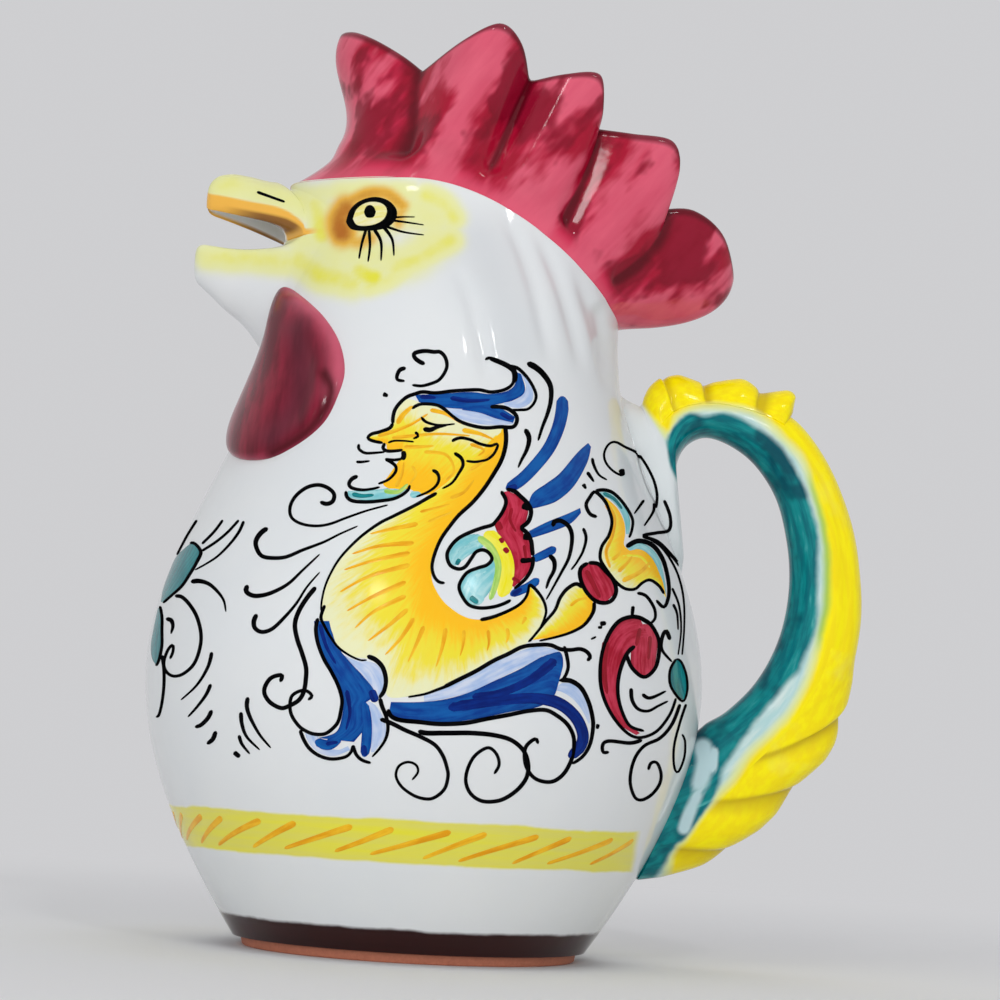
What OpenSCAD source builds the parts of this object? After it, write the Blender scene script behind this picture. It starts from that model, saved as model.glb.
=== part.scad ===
// Rooster pitcher in glazed earthenware.
// It stands on the XY plane with the beak along -X and the handle along +X. The origin is the middle of
// the foot on the table. The two halves on either side of the XZ plane are alike.

/* [Belly and neck] */
// Width of the body where it meets the foot ring
stand_d = 89; // [80:1:98]
// Widest part of the belly
belly_d = 148; // [136:1:160]
// Height of the widest part above the table
belly_z = 72; // [64:1:80]
// Width that the neck closes in to
throat_d = 88; // [82:1:94]
// Height at which the neck would be narrowest
throat_z = 178; // [172:1:184]
// Height of the seam between belly and neck
shoulder_z = 112; // [104:1:120]
// Height of the seam between neck and head
collar_z = 152; // [149:1:155]
// Thickness of the clay wall
wall = 5; // [4:0.25:6]
// Thickness of the slip in a luted joint
slip_line = 0.15; // [0.1:0.01:0.2]

/* [Foot] */
// Height of the foot ring
foot_h = 2.6; // [2:0.1:4]
// How far the bottom edge of the foot ring is cut back
foot_bevel = 1.6; // [1:0.1:2.5]
// Width of the face that the foot ring stands on
foot_rim_w = 7; // [6:0.25:9]
// Thickness of the floor inside the belly
floor_t = 6; // [4.5:0.25:8]

/* [Head] */
// Distance from the axis to the front of the head, under the comb
head_front = 44.8; // [43:0.2:47]
// Distance from the axis to the nape, under the comb
head_back = 46; // [44:0.2:48]
// Half the width of the head under the comb
head_half_w = 29; // [27:0.5:31]
// Height of the crown above the seam between neck and head
crown_h = 50; // [47:0.5:53]
// Height of the nape above that seam, where the comb ends at the back
nape_h = 18.4; // [16:0.2:21]
// Distance in front of the axis where the crown is level
crown_reach = 12; // [9:0.5:15]
// Rise of the brow from the crown to the root of the beak
brow_rise = 1.8; // [1:0.1:2.5]
// Depth of the hackle flutes down the back of the head
hackle_depth = 0.7; // [0.4:0.05:1]

/* [Comb] */
// Height of the comb's highest lobe above the crown
comb_h = 46; // [40:1:52]
// Distance from the axis to the end of the lobe at the back
comb_back = 77; // [73:1:81]
// Half the width of the comb over its widest lobes
comb_half_w = 31; // [29:0.5:34]
// Thickness of the comb
comb_wall = 4.2; // [3.6:0.1:4.8]
// Depth of the folds between the lobes
fold_depth = 2.6; // [1.5:0.1:3]
// How far the front lobe dips back above the beak
brow_dip = 26; // [22:0.5:28]
// How far the back lobe hangs out level before it turns up
nape_sag = 9; // [6:0.5:10]

/* [Beak] */
// Length of the upper beak in front of the head
upper_reach = 22.7; // [19:0.5:26]
// Length of the lower beak in front of the head
lower_reach = 24.7; // [21:0.5:28]
// Half the width of the beak at its root
beak_half_w = 14; // [12.5:0.5:15]
// Height of the corner of the mouth above the seam between neck and head
mouth_h = 34.8; // [33:0.2:36]
// Height of the upper beak at its root
bill_h = 16; // [14:0.2:16.4]
// Height of the lower beak and chin at their root
chin_h = 29; // [26:0.5:31]
// Thickness of the beak
beak_wall = 3.4; // [2.8:0.1:4]

/* [Wattles] */
// How far a wattle hangs below the seam between neck and head
wattle_drop = 28.5; // [25:0.5:33]
// How far a wattle reaches above that seam
wattle_rise = 22; // [19:0.5:23]
// Angle round the neck from the middle of the throat to a wattle's outer edge
wattle_angle = 61.5; // [55:0.5:68]
// Thickness of a wattle
wattle_t = 4.6; // [3:0.1:6]

/* [Handle] */
// How far the handle stands out beyond the belly
handle_reach = 41; // [37:0.5:46]
// Height of the bottom of the lower root
root_low_z = 20; // [17:0.5:24]
// Length of the lower root up the belly
root_low_len = 41; // [36:0.5:44]
// Height of the top of the upper root above the seam between neck and head
root_rise = 1; // [-2:0.5:4]
// Length of the upper root down the neck
root_high_len = 53; // [46:0.5:56]
// Half the width of the handle's grip
grip_half_w = 8.5; // [7.5:0.1:9.5]
// Height of the tallest thumb bump
bump_h = 7; // [5.5:0.1:8]
// Thickness of the tail feathers
feather_t = 5.5; // [4:0.1:7]

/* [Hidden] */
$fn = 96;

white_glaze = "#E6E9EA";
crimson_glaze = "#A81C3A";
yellow_glaze = "#F5DC1E";
green_glaze = "#0E8478";
bare_clay = "#BE7558";

stand_r = stand_d / 2;
belly_r = belly_d / 2;
throat_r = throat_d / 2;
crown_z = collar_z + crown_h;
nape_z = collar_z + nape_h;
comb_top_z = crown_z + comb_h;
mouth_z = collar_z + mouth_h;
wattle_low_z = collar_z - wattle_drop;
wattle_high_z = collar_z + wattle_rise;
root_high_z = collar_z + root_rise;
// Gap under a piece that seats on a curved face
seat_gap = 2 * slip_line;

// Turned body

// How fast the belly swells from the foot, and how late the shoulder turns in
belly_power = 0.95;
shoulder_power = 0.95;
belly_steps = 30;
neck_steps = 14;

function lerp(a, b, share) = a + (b - a) * share;
function smooth(share) = let(s = max(0, min(1, share))) s * s * (3 - 2 * s);

// Outer radius of the turned body at height z
function body_r(z) = z < belly_z
    ? lerp(stand_r, belly_r, pow(max(0, sin(90 * z / belly_z)), belly_power))
    : lerp(throat_r, belly_r,
        (1 + cos(180 * pow(min(1, (z - belly_z) / (throat_z - belly_z)), shoulder_power))) / 2);

// Half section of a turned wall between two heights
function turned_wall(low, high, steps) = concat(
    [for (i = [0:steps]) let(z = lerp(low, high, i / steps)) [body_r(z), z]],
    [for (i = [steps:-1:0]) let(z = lerp(low, high, i / steps)) [body_r(z) - wall, z]]);

// Head

collar_r = body_r(collar_z);
// Rows of the head, from the neck to the comb, as shares of its height
head_row_shares = [0, 0.14, 0.28, 0.42, 0.56, 0.7, 0.84, 0.93, 1];
head_rows = len(head_row_shares);
// The window of the mouth lies between these rows and this many columns either side of the middle
window_low_row = 3;
window_high_row = 6;
window_half_cols = 3;
// The flutes end this far round from the nape, fade out over this angle, and each takes four columns
hackle_angle = 112;
hackle_fade_angle = 30;
hackle_cols = 4;

function head_rise(z) = (z - collar_z) / (crown_z - collar_z);
// Half sizes of the oval head at height z, along X in front, along X behind and along Y
function head_front_at(z) = lerp(collar_r, head_front, sin(90 * min(1, head_rise(z))));
function head_back_at(z) = lerp(collar_r, head_back, sin(90 * min(1, head_rise(z))));
function head_side_at(z) = lerp(head_half_w, collar_r, (1 + cos(180 * min(1, head_rise(z)))) / 2);

// Height of the line where the head ends and the comb starts
function border_z(a) =
    let(x = cos(a) * (cos(a) < 0 ? head_front : head_back))
    x > -crown_reach
        ? crown_z - (crown_z - nape_z) * pow((x + crown_reach) / (head_back + crown_reach), 2)
        : crown_z + brow_rise * pow((x + crown_reach) / (head_front - crown_reach), 4);

// Point on the head at angle a and height z, a depth inside its outer face
function head_point(a, z, depth) = [
    cos(a) * ((cos(a) < 0 ? head_front_at(z) : head_back_at(z)) - depth),
    sin(a) * (head_side_at(z) - depth),
    z];

// Distance in front of or behind the axis of the skin at a place seen from the beak or the handle
function skin_side(z) = z < collar_z ? body_r(z) : head_side_at(z);
function skin_front(y, z) =
    (z < collar_z ? body_r(z) : head_front_at(z)) * sqrt(max(0, 1 - pow(y / skin_side(z), 2)));
function skin_back(y, z) =
    (z < collar_z ? body_r(z) : head_back_at(z)) * sqrt(max(0, 1 - pow(y / skin_side(z), 2)));

// Columns of the head and comb. Each lobe of the comb has its own number of columns.

lobe_edges = [-28, 28, 51.5, 81.5, 113.5, 246.5, 278.5, 308.5, 332];
lobe_cols = [14, 10, 10, 10, 24, 10, 10, 10];
columns = [for (k = [0:len(lobe_cols) - 1], m = [0:lobe_cols[k] - 1])
    [lerp(lobe_edges[k], lobe_edges[k + 1], m / lobe_cols[k]), k, m / lobe_cols[k]]];
col_count = len(columns);
front_col = 56;

// Triangles of a closed grid and of the shapes made from it

// Two triangles for four points that run anticlockwise seen from outside
function quad(a, b, c, d) = [[a, c, b], [a, d, c]];
// A grid whose rows close into rings and whose last row joins its first
function torus_cell(rows, cols, i, j) =
    let(up = (i + 1) % rows, on = (j + 1) % cols)
    quad(i * cols + j, i * cols + on, up * cols + on, up * cols + j);
function torus_faces(rows, cols) =
    [for (i = [0:rows - 1], j = [0:cols - 1]) each torus_cell(rows, cols, i, j)];
// A tube of rings with its rows open at both ends
function tube_faces(rows, cols) =
    [for (i = [0:rows - 2], j = [0:cols - 1]) each torus_cell(rows, cols, i, j)];

// Smooth curve through a list of points, with t from zero to the number of spans
function spline(pts, t) =
    let(
        last = len(pts) - 1,
        i = min(last - 1, floor(t)),
        f = t - i,
        p0 = pts[max(0, i - 1)],
        p1 = pts[i],
        p2 = pts[i + 1],
        p3 = pts[min(last, i + 2)])
    (p1 * 2 + (p2 - p0) * f + (p0 * 2 - p1 * 5 + p2 * 4 - p3) * f * f
        + (p1 * 3 - p0 - p2 * 3 + p3) * f * f * f) / 2;

// Head shell, with flutes outside and a plain wall inside

function hackle(j, share) =
    let(off = abs(columns[j][0] > 180 ? columns[j][0] - 360 : columns[j][0]))
    hackle_depth * smooth(share * 2) * smooth((hackle_angle - off) / hackle_fade_angle)
        * (1 - cos(360 * j / hackle_cols)) / 2;
function head_z(j, share) = lerp(collar_z + slip_line, border_z(columns[j][0]), share);
head_points = concat(
    [for (s = head_row_shares, j = [0:col_count - 1])
        head_point(columns[j][0], head_z(j, s), s < 1 ? hackle(j, s) : 0)],
    [for (i = [head_rows - 1:-1:0], j = [0:col_count - 1])
        head_point(columns[j][0], head_z(j, head_row_shares[i]), wall)]);

function outer_at(i, j) = i * col_count + j;
function inner_at(i, j) = (2 * head_rows - 1 - i) * col_count + j;
win_a = front_col - window_half_cols;
win_b = front_col + window_half_cols;
function in_window(row, j) =
    let(i = row < head_rows ? row : 2 * head_rows - 2 - row)
    i >= window_low_row && i < window_high_row && j >= win_a && j < win_b;
head_faces = concat(
    [for (i = [0:2 * head_rows - 1], j = [0:col_count - 1]) if (!in_window(i, j))
        each torus_cell(2 * head_rows, col_count, i, j)],
    [for (j = [win_a:win_b - 1]) each concat(
        quad(outer_at(window_low_row, j), outer_at(window_low_row, j + 1),
            inner_at(window_low_row, j + 1), inner_at(window_low_row, j)),
        quad(outer_at(window_high_row, j + 1), outer_at(window_high_row, j),
            inner_at(window_high_row, j), inner_at(window_high_row, j + 1)))],
    [for (i = [window_low_row:window_high_row - 1]) each concat(
        quad(outer_at(i + 1, win_a), outer_at(i, win_a), inner_at(i, win_a), inner_at(i + 1, win_a)),
        quad(outer_at(i, win_b), outer_at(i + 1, win_b), inner_at(i + 1, win_b), inner_at(i, win_b)))]);

// Comb. Each lobe's edge is a curve from notch to notch. Its points are shares of the comb's reach behind
// the axis, of its half width, and of its height from the nape to the highest lobe.

back_lobe_shares = [[0.76, 0.6, 0.37], [0.85, 0.53, 0.375], [0.95, 0.36, 0.31], [1, 0, 0.2]];
side_lobe_shares = [
    [[0.76, 0.6, 0.37], [0.775, 0.7, 0.51], [0.735, 0.77, 0.59], [0.6, 0.79, 0.605], [0.51, 0.8, 0.62]],
    [[0.51, 0.8, 0.62], [0.5, 0.86, 0.69], [0.475, 0.93, 0.785], [0.36, 0.93, 0.785], [0.25, 0.86, 0.775]],
    [[0.25, 0.86, 0.775], [0.21, 0.95, 0.88], [0.13, 1, 0.935], [0.01, 0.9, 0.89], [-0.15, 0.66, 0.81]]];
front_lobe_shares = [[-0.15, 0.66, 0.81], [-0.22, 0.55, 0.87], [-0.31, 0.38, 0.94], [-0.38, 0.2, 0.985],
    [-0.42, 0, 1]];
comb_rows = 10;
// Each fold starts in a rounded pocket, which lies between these shares of the comb's height
pocket_shares = [0.13, 0.3];
// Width of a groove as a share of its lobe, how far the lobe swells beside it, and how much shallower the
// grooves are at the back, as shares of the fold's depth
groove_share = 0.19;
puff_share = 0.6;
back_ease_share = 0.55;

function rim_size(p) = [p.x * comb_back, p.y * comb_half_w, lerp(nape_z, comb_top_z, p.z)];
function far(p) = [p.x, -p.y, p.z];
function reverse(list) = [for (i = [len(list) - 1:-1:0]) list[i]];
function mirrored(list) = reverse([for (p = list) far(p)]);
lobe_curves = concat(
    [concat([for (p = back_lobe_shares) far(p)], [for (i = [2:-1:0]) back_lobe_shares[i]])],
    side_lobe_shares,
    [concat(front_lobe_shares, [for (i = [3:-1:0]) far(front_lobe_shares[i])])],
    [for (k = [2:-1:0]) mirrored(side_lobe_shares[k])]);

// Edge of the comb above column j
function comb_rim(j) =
    let(curve = [for (p = lobe_curves[columns[j][1]]) rim_size(p)])
    spline(curve, columns[j][2] * (len(curve) - 1));
function comb_base(j) = head_point(columns[j][0], border_z(columns[j][0]), 0) + [0, 0, slip_line];

// Weights of the front and the back of the comb at column j
front_power = 3.5;
back_power = 8;
function frontness(j) = pow((1 - cos(columns[j][0])) / 2, front_power);
function backness(j) = pow((1 + cos(columns[j][0])) / 2, back_power);
// How far the sheet is pressed in at column j, from one in a groove to a small swell in a lobe's middle
function groove(j) =
    let(off = min(columns[j][2], 1 - columns[j][2]))
    (1 + puff_share) * exp(-pow(off / groove_share, 2)) - puff_share;

// Middle of the curved sheet of the comb, with v from zero at the head to one at the edge
function comb_sheet(j, v) =
    let(
        a = columns[j][0],
        base = comb_base(j),
        rim = comb_rim(j),
        first = lerp(base, rim, 1 / 3) + frontness(j) * [brow_dip, 0, brow_dip / 8]
            - backness(j) * [nape_sag / 4, 0, nape_sag / 2],
        second = lerp(base, rim, 2 / 3) - frontness(j) * [brow_dip / 12, 0, 0]
            + backness(j) * [nape_sag, 0, -nape_sag],
        fold = fold_depth * (1 - back_ease_share * sqrt(backness(j))) * groove(j)
            * smooth((v - pocket_shares[0]) / (pocket_shares[1] - pocket_shares[0])))
    base * pow(1 - v, 3) + first * 3 * v * pow(1 - v, 2) + second * 3 * v * v * (1 - v) + rim * pow(v, 3)
        - fold * [cos(a), sin(a), 0];

comb_grid = [for (i = [0:comb_rows - 1]) [for (j = [0:col_count - 1]) comb_sheet(j, i / (comb_rows - 1))]];
function unit(v) = v / norm(v);
// Direction out of the sheet at a grid point
function comb_normal(i, j) =
    let(
        across = comb_grid[i][(j + 2) % col_count] - comb_grid[i][(j + col_count - 2) % col_count],
        up = comb_grid[min(comb_rows - 1, i + 1)][j] - comb_grid[max(0, i - 1)][j])
    unit(cross(across, up));
// Inner face of the comb. It starts on the inside of the head and turns to its own thickness over this
// share of its height.
turn_share = 0.3;
function comb_inner(i, j) =
    let(
        head_in = head_point(columns[j][0], border_z(columns[j][0]), wall) + [0, 0, slip_line],
        moved = head_in + comb_grid[i][j] - comb_grid[0][j])
    lerp(moved, comb_grid[i][j] - comb_wall * comb_normal(i, j), smooth(i / (comb_rows - 1) / turn_share));

comb_points = concat(
    [for (row = comb_grid) each row],
    [for (j = [0:col_count - 1])
        lerp(comb_grid[comb_rows - 1][j], comb_inner(comb_rows - 1, j), 0.5) + [0, 0, comb_wall / 4]],
    [for (i = [comb_rows - 1:-1:0], j = [0:col_count - 1]) comb_inner(i, j)]);

// Beak. Each half is a trough whose sections shrink from the head to the tip. A section is given by its
// place along the beak, its half width, its edge height and its depth, as shares of the named sizes, then
// by the share of the depth that is hollow.

upper_share = [
    [0, 1, 0, 1, 0.76], [0.05, 0.99, 0.03, 0.95, 0.75], [0.12, 0.97, 0.15, 0.88, 0.74],
    [0.25, 0.93, 0.27, 0.8, 0.72], [0.5, 0.65, 0.42, 0.74, 0.68], [0.7, 0.47, 0.49, 0.69, 0.62],
    [0.85, 0.35, 0.53, 0.6, 0.45], [0.94, 0.26, 0.57, 0.48, 0.2], [1, 0.12, 0.64, 0.26, 0.05]];
lower_share = [
    [0, 1, 0, 1, 0.68], [0.05, 0.99, 0, 0.95, 0.67], [0.11, 0.98, 0.06, 0.84, 0.67],
    [0.2, 0.94, 0.085, 0.75, 0.66], [0.4, 0.77, 0.09, 0.6, 0.62], [0.6, 0.58, 0.075, 0.5, 0.55],
    [0.78, 0.46, 0.05, 0.4, 0.4], [0.9, 0.37, 0.035, 0.32, 0.15], [0.97, 0.25, 0.06, 0.24, 0.05],
    [1, 0.12, 0.1, 0.15, 0.03]];
// The root spreads on the head over this share of the beak's length, by this share of its half width
flare_share = 0.45;
side_flare_share = 0.22;
beak_arc = 14;
beak_ring = 2 * (beak_arc + 1);

// One section of a half beak. The side is 1 for the upper half and -1 for the lower.
function beak_section(s, reach, height, side) =
    let(
        half_w = s[1] * beak_half_w,
        edge = mouth_z + side * (slip_line / 2) + side * s[2] * height,
        inner_share = 1 - beak_wall / beak_half_w,
        flared = side_flare_share * pow(1 - sqrt(min(1, s[0] / flare_share)), 2))
    [for (k = [0:beak_ring - 1])
        let(
            outer = k <= beak_arc,
            a = 180 * (outer ? k : beak_ring - 1 - k) / beak_arc,
            z = edge + side * sin(a) * s[3] * height * (outer ? 1 : s[4]),
            clear_of_wattle = smooth((z - wattle_high_z) / (mouth_z - wattle_high_z)),
            y = cos(a) * half_w * (1 + flared * clear_of_wattle) * (outer ? 1 : inner_share),
            root_x = -skin_front(y, z) - seat_gap,
            tip_x = -head_front - reach)
        [lerp(root_x, tip_x, s[0]), y, z]];

// Strip that closes the end of a trough between its outer and inner arcs
function trough_end(first) =
    [for (k = [0:beak_arc - 1]) each quad(first + k, first + k + 1,
        first + beak_ring - 2 - k, first + beak_ring - 1 - k)];
function flipped(faces) = [for (f = faces) [f[0], f[2], f[1]]];

module half_beak(shares, reach, height, side) {
    sections = [for (s = shares) beak_section(s, reach, height, side)];
    rows = len(sections);
    body = concat(
        tube_faces(rows, beak_ring),
        flipped(trough_end(0)),
        trough_end((rows - 1) * beak_ring));
    polyhedron(points = [for (s = sections) each s], faces = side > 0 ? flipped(body) : body, convexity = 6);
}

// Wattles. The outline is in shares of the angle round the neck and of the height.

wattle_shares = [[0.32, 1], [0.49, 0.945], [0.66, 0.86], [0.81, 0.755], [0.93, 0.62], [1, 0.46], [1, 0.32],
    [0.97, 0.18], [0.88, 0.07], [0.75, 0], [0.59, 0], [0.42, 0.04], [0.25, 0.11], [0.1, 0.21], [0.05, 0.36],
    [0.08, 0.52], [0.17, 0.65], [0.26, 0.8]];
wattle_centre_share = [0.56, 0.42];
// The rolled edge is set off by a crease, and the pad is hollowed beside it. Both are lines in the shares of
// the outline, with their width as a share of the wattle's height and their depth as one of its thickness.
crease_shares = [[0.82, 0.56], [0.89, 0.44], [0.9, 0.33], [0.87, 0.21], [0.78, 0.11], [0.64, 0.05]];
hollow_shares = [[0.64, 0.75], [0.7, 0.56], [0.71, 0.4], [0.68, 0.26], [0.58, 0.14]];
crease_width_share = 0.045;
crease_depth_share = 0.4;
hollow_width_share = 0.11;
hollow_depth_share = 0.42;
wattle_sides = 40;
wattle_ring_shares = [0.3, 0.52, 0.68, 0.78, 0.86, 0.93, 1];

function wattle_point(p, height) =
    let(
        a = p.x * wattle_angle,
        z = lerp(wattle_low_z, wattle_high_z, p.y),
        front = (z < collar_z ? body_r(z) : head_front_at(z)) + height)
    [-cos(a) * front, -sin(a) * (skin_side(z) + height), z];
function wattle_outline(k) =
    let(
        count = len(wattle_shares),
        t = k * count / wattle_sides,
        i = floor(t))
    spline([for (n = [-1:2]) wattle_shares[(i + n + count) % count]], 1 + t - i);
// Distance from a point to a line of points
function off_span(p, a, b) =
    let(t = max(0, min(1, (p - a) * (b - a) / ((b - a) * (b - a)))))
    norm(p - lerp(a, b, t));
function off_line(p, line) = min([for (i = [0:len(line) - 2]) off_span(p, line[i], line[i + 1])]);
// Share of the thickness that is left where the pad is creased and hollowed
function wattle_left_share(p) = 1
    - crease_depth_share * exp(-pow(off_line(p, crease_shares) / crease_width_share, 2))
    - hollow_depth_share * exp(-pow(off_line(p, hollow_shares) / hollow_width_share, 2));
// Swell of the wattle from its middle, where s is zero, to its edge, where s is one
function wattle_swell(s) = sqrt(max(0, 1 - pow(s, 4)));
function wattle_height(p, s) =
    max(seat_gap + wattle_t / 6, wattle_t * wattle_swell(s) * wattle_left_share(p));
function wattle_face(out) = concat(
    [wattle_point(wattle_centre_share, out ? wattle_height(wattle_centre_share, 0) : seat_gap)],
    [for (s = wattle_ring_shares, k = [0:wattle_sides - 1])
        let(p = lerp(wattle_centre_share, wattle_outline(k), s))
        wattle_point(p, out ? wattle_height(p, s) : seat_gap)]);
function disc_faces(first, rings, sides) = concat(
    [for (k = [0:sides - 1]) [first, first + 1 + k, first + 1 + (k + 1) % sides]],
    [for (i = [0:rings - 2], k = [0:sides - 1])
        let(a = first + 1 + i * sides, on = (k + 1) % sides)
        each quad(a + k, a + on, a + sides + on, a + sides + k)]);

module wattle() {
    rings = len(wattle_ring_shares);
    half = 1 + rings * wattle_sides;
    edge = 1 + (rings - 1) * wattle_sides;
    polyhedron(
        points = concat(wattle_face(true), wattle_face(false)),
        faces = concat(
            disc_faces(0, rings, wattle_sides),
            flipped(disc_faces(half, rings, wattle_sides)),
            [for (k = [0:wattle_sides - 1])
                let(on = (k + 1) % wattle_sides)
                each quad(edge + k, edge + on, half + edge + on, half + edge + k)]),
        convexity = 4);
}

// Handle. Its stations give the inner and the outer edge in the XZ plane and the half width. Along X they
// are shares of the reach beyond the belly, along Z shares of the height between the two roots.

handle_shares = [
    [-0.16, 0.68, -0.49, 0.97, 1.1], [-0.2, 0.767, -0.39, 0.985, 1.1], [-0.235, 0.842, -0.27, 0.995, 1.06],
    [-0.18, 0.891, -0.12, 1, 1], [-0.05, 0.914, 0.075, 0.998, 0.95], [0.12, 0.9, 0.32, 0.985, 0.94],
    [0.29, 0.862, 0.545, 0.958, 0.94], [0.435, 0.797, 0.765, 0.875, 0.97], [0.515, 0.714, 0.93, 0.762, 1],
    [0.545, 0.635, 1.005, 0.655, 1], [0.525, 0.556, 1.022, 0.545, 1.02], [0.46, 0.485, 0.945, 0.42, 1.06],
    [0.34, 0.417, 0.76, 0.305, 1.12], [0.17, 0.361, 0.46, 0.195, 1.2], [0.035, 0.333, 0.12, 0.086, 1.3]];
root_half_share = 1.1;
low_root_half_share = 1.4;
handle_sides = 20;
steps_per_station = 2;

function handle_edge(s) = [
    belly_r + s[0] * handle_reach, lerp(root_low_z, root_high_z, s[1]),
    belly_r + s[2] * handle_reach, lerp(root_low_z, root_high_z, s[3]),
    s[4] * grip_half_w];
function seat_edge(low, high, half_share) =
    [skin_back(0, low) + slip_line, low, skin_back(0, high) + slip_line, high, half_share * grip_half_w];
handle_stations = concat(
    [seat_edge(root_high_z - root_high_len, root_high_z, root_half_share)],
    [for (s = handle_shares) handle_edge(s)],
    [seat_edge(root_low_z + root_low_len, root_low_z, low_root_half_share)]);
station_count = len(handle_stations);

// Point of the handle's oval section at station t. Angle zero is its outer edge, and lift is how far the
// point stands off the section.
function handle_point(t, a, lift) =
    let(
        s = spline(handle_stations, t),
        across = [s[2] - s[0], s[3] - s[1]],
        half = norm(across) / 2,
        e = across / norm(across),
        y = sin(a) * (s[4] + lift),
        x = (s[0] + s[2]) / 2 + e.x * cos(a) * (half + lift),
        z = (s[1] + s[3]) / 2 + e.y * cos(a) * (half + lift))
    [max(x, skin_back(y, z) + slip_line), y, z];
// Point on the body under a root, with share from zero in its middle to one at its edge
function root_point(s, a, share) =
    let(
        y = sin(a) * s[4] * share,
        z = lerp(s[1], s[3], (1 + cos(a) * share) / 2))
    [skin_back(y, z) + slip_line, y, z];
root_ring_shares = [0.4, 0.75];
function root_disc(s) = concat(
    [root_point(s, 0, 0)],
    [for (r = root_ring_shares, k = [0:handle_sides - 1]) root_point(s, 360 * k / handle_sides, r)]);

module handle_body() {
    last = station_count - 1;
    rings = last * steps_per_station + 1;
    tube = [for (i = [0:rings - 1], k = [0:handle_sides - 1])
        let(a = 360 * k / handle_sides)
        i == 0 ? root_point(handle_stations[0], a, 1)
            : i == rings - 1 ? root_point(handle_stations[last], a, 1)
            : handle_point(i / steps_per_station, a, 0)];
    discs = len(root_ring_shares);
    high = rings * handle_sides;
    low = high + 1 + discs * handle_sides;
    function edge_strip(disc, ring) = [for (k = [0:handle_sides - 1])
        let(on = (k + 1) % handle_sides, a = disc + 1 + (discs - 1) * handle_sides)
        each quad(a + k, a + on, ring + on, ring + k)];
    polyhedron(
        points = concat(tube, root_disc(handle_stations[0]), root_disc(handle_stations[last])),
        faces = flipped(concat(
            tube_faces(rings, handle_sides),
            disc_faces(high, discs, handle_sides),
            edge_strip(high, 0),
            flipped(disc_faces(low, discs, handle_sides)),
            flipped(edge_strip(low, (rings - 1) * handle_sides)))),
        convexity = 8);
}

// Ridge along the outer edge of the handle. Each entry of its profile is a station of the handle and a
// share of the ridge's greatest height there.

crest_shares = [[1, 0.02], [1.6, 0.38], [2.4, 0.69], [3.2, 0.72], [3.7, 0.52], [4.15, 0.35], [4.6, 0.52],
    [5.15, 0.81], [5.4, 0.68], [5.7, 0.43], [6.05, 0.58], [6.5, 0.88], [6.8, 0.87], [7, 0.3]];
feather_shares = [[11.5, 0.01], [11.9, 0.07], [12.2, 0.21], [12.4, 0.16], [12.6, 0.45], [12.8, 0.63],
    [13.05, 0.7], [13.3, 0.59], [13.55, 0.48], [13.8, 0.65], [14, 0.81], [14.25, 0.79], [14.5, 0.57],
    [14.7, 0.37], [14.85, 0.39], [15.1, 0.37], [15.4, 0.32], [15.7, 0.16]];
crest_half_angle = 52;
feather_half_angle = 66;
crest_rows = 20;
feather_rows = 27;
// How many stations further down the handle a feather's edge lies at the ridge's sides than at its crown
feather_slant = 1.1;
ridge_sides = 8;
// Thickness at the edge of a ridge, as a share of its greatest height
ridge_edge_share = 0.08;

// Share of the ridge's height at station t, on straight lines between the entries of its profile
function ridge_share(shares, t) =
    let(
        last = len(shares) - 1,
        i = max([0, for (n = [0:last - 1]) if (shares[n][0] <= t) n]),
        part = (t - shares[i][0]) / (shares[i + 1][0] - shares[i][0]))
    lerp(shares[i][1], shares[i + 1][1], max(0, min(1, part)));

module ridge(shares, height, half_angle, rows, slant) {
    ring = 2 * (ridge_sides + 1);
    start = shares[0][0];
    end = shares[len(shares) - 1][0];
    pts = [for (row = [0:rows - 1], k = [0:ring - 1])
        let(
            t = lerp(start, end, row / (rows - 1)),
            top = k > ridge_sides,
            m = top ? ring - 1 - k : k,
            a = lerp(-half_angle, half_angle, m / ridge_sides),
            off = abs(a) / half_angle,
            swell = ridge_edge_share + ridge_share(shares, t - slant * off) * pow(cos(90 * off), 1.2))
        handle_point(t, a, seat_gap + (top ? height * swell : 0))];
    function cap(first) = [for (m = [0:ridge_sides - 1]) each quad(first + m, first + m + 1,
        first + ring - 2 - m, first + ring - 1 - m)];
    polyhedron(
        points = pts,
        faces = concat(tube_faces(rows, ring), flipped(cap(0)), cap((rows - 1) * ring)),
        convexity = 6);
}

// Sub-parts

module foot_ring() {
    color(bare_clay)
    rotate_extrude()
    polygon([
        [stand_r - foot_bevel - foot_rim_w, 0],
        [stand_r - foot_bevel, 0],
        [body_r(0), foot_bevel / 2],
        [body_r(foot_h), foot_h - slip_line],
        [stand_r - foot_bevel - foot_rim_w, foot_h - slip_line]]);
}

module base_floor() {
    color(white_glaze)
    rotate_extrude()
    polygon([
        [0, foot_h],
        [body_r(foot_h) - wall - slip_line, foot_h],
        [body_r(foot_h + floor_t) - wall - slip_line, foot_h + floor_t],
        [0, foot_h + floor_t]]);
}

module belly_shell() {
    color(white_glaze)
    rotate_extrude()
    polygon(turned_wall(foot_h, shoulder_z, belly_steps));
}

module neck_shell() {
    color(white_glaze)
    rotate_extrude()
    polygon(turned_wall(shoulder_z + slip_line, collar_z, neck_steps));
}

module head_shell() {
    color(white_glaze)
    polyhedron(points = head_points, faces = head_faces, convexity = 8);
}

module comb_collar() {
    color(crimson_glaze)
    polyhedron(points = comb_points, faces = torus_faces(2 * comb_rows + 1, col_count), convexity = 10);
}

module upper_beak() {
    color(white_glaze)
    half_beak(upper_share, upper_reach, bill_h, 1);
}

module lower_beak() {
    color(white_glaze)
    half_beak(lower_share, lower_reach, chin_h, -1);
}

module wattle_left() {
    color(crimson_glaze)
    mirror([0, 1, 0])
    wattle();
}

module wattle_right() {
    color(crimson_glaze)
    wattle();
}

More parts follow.
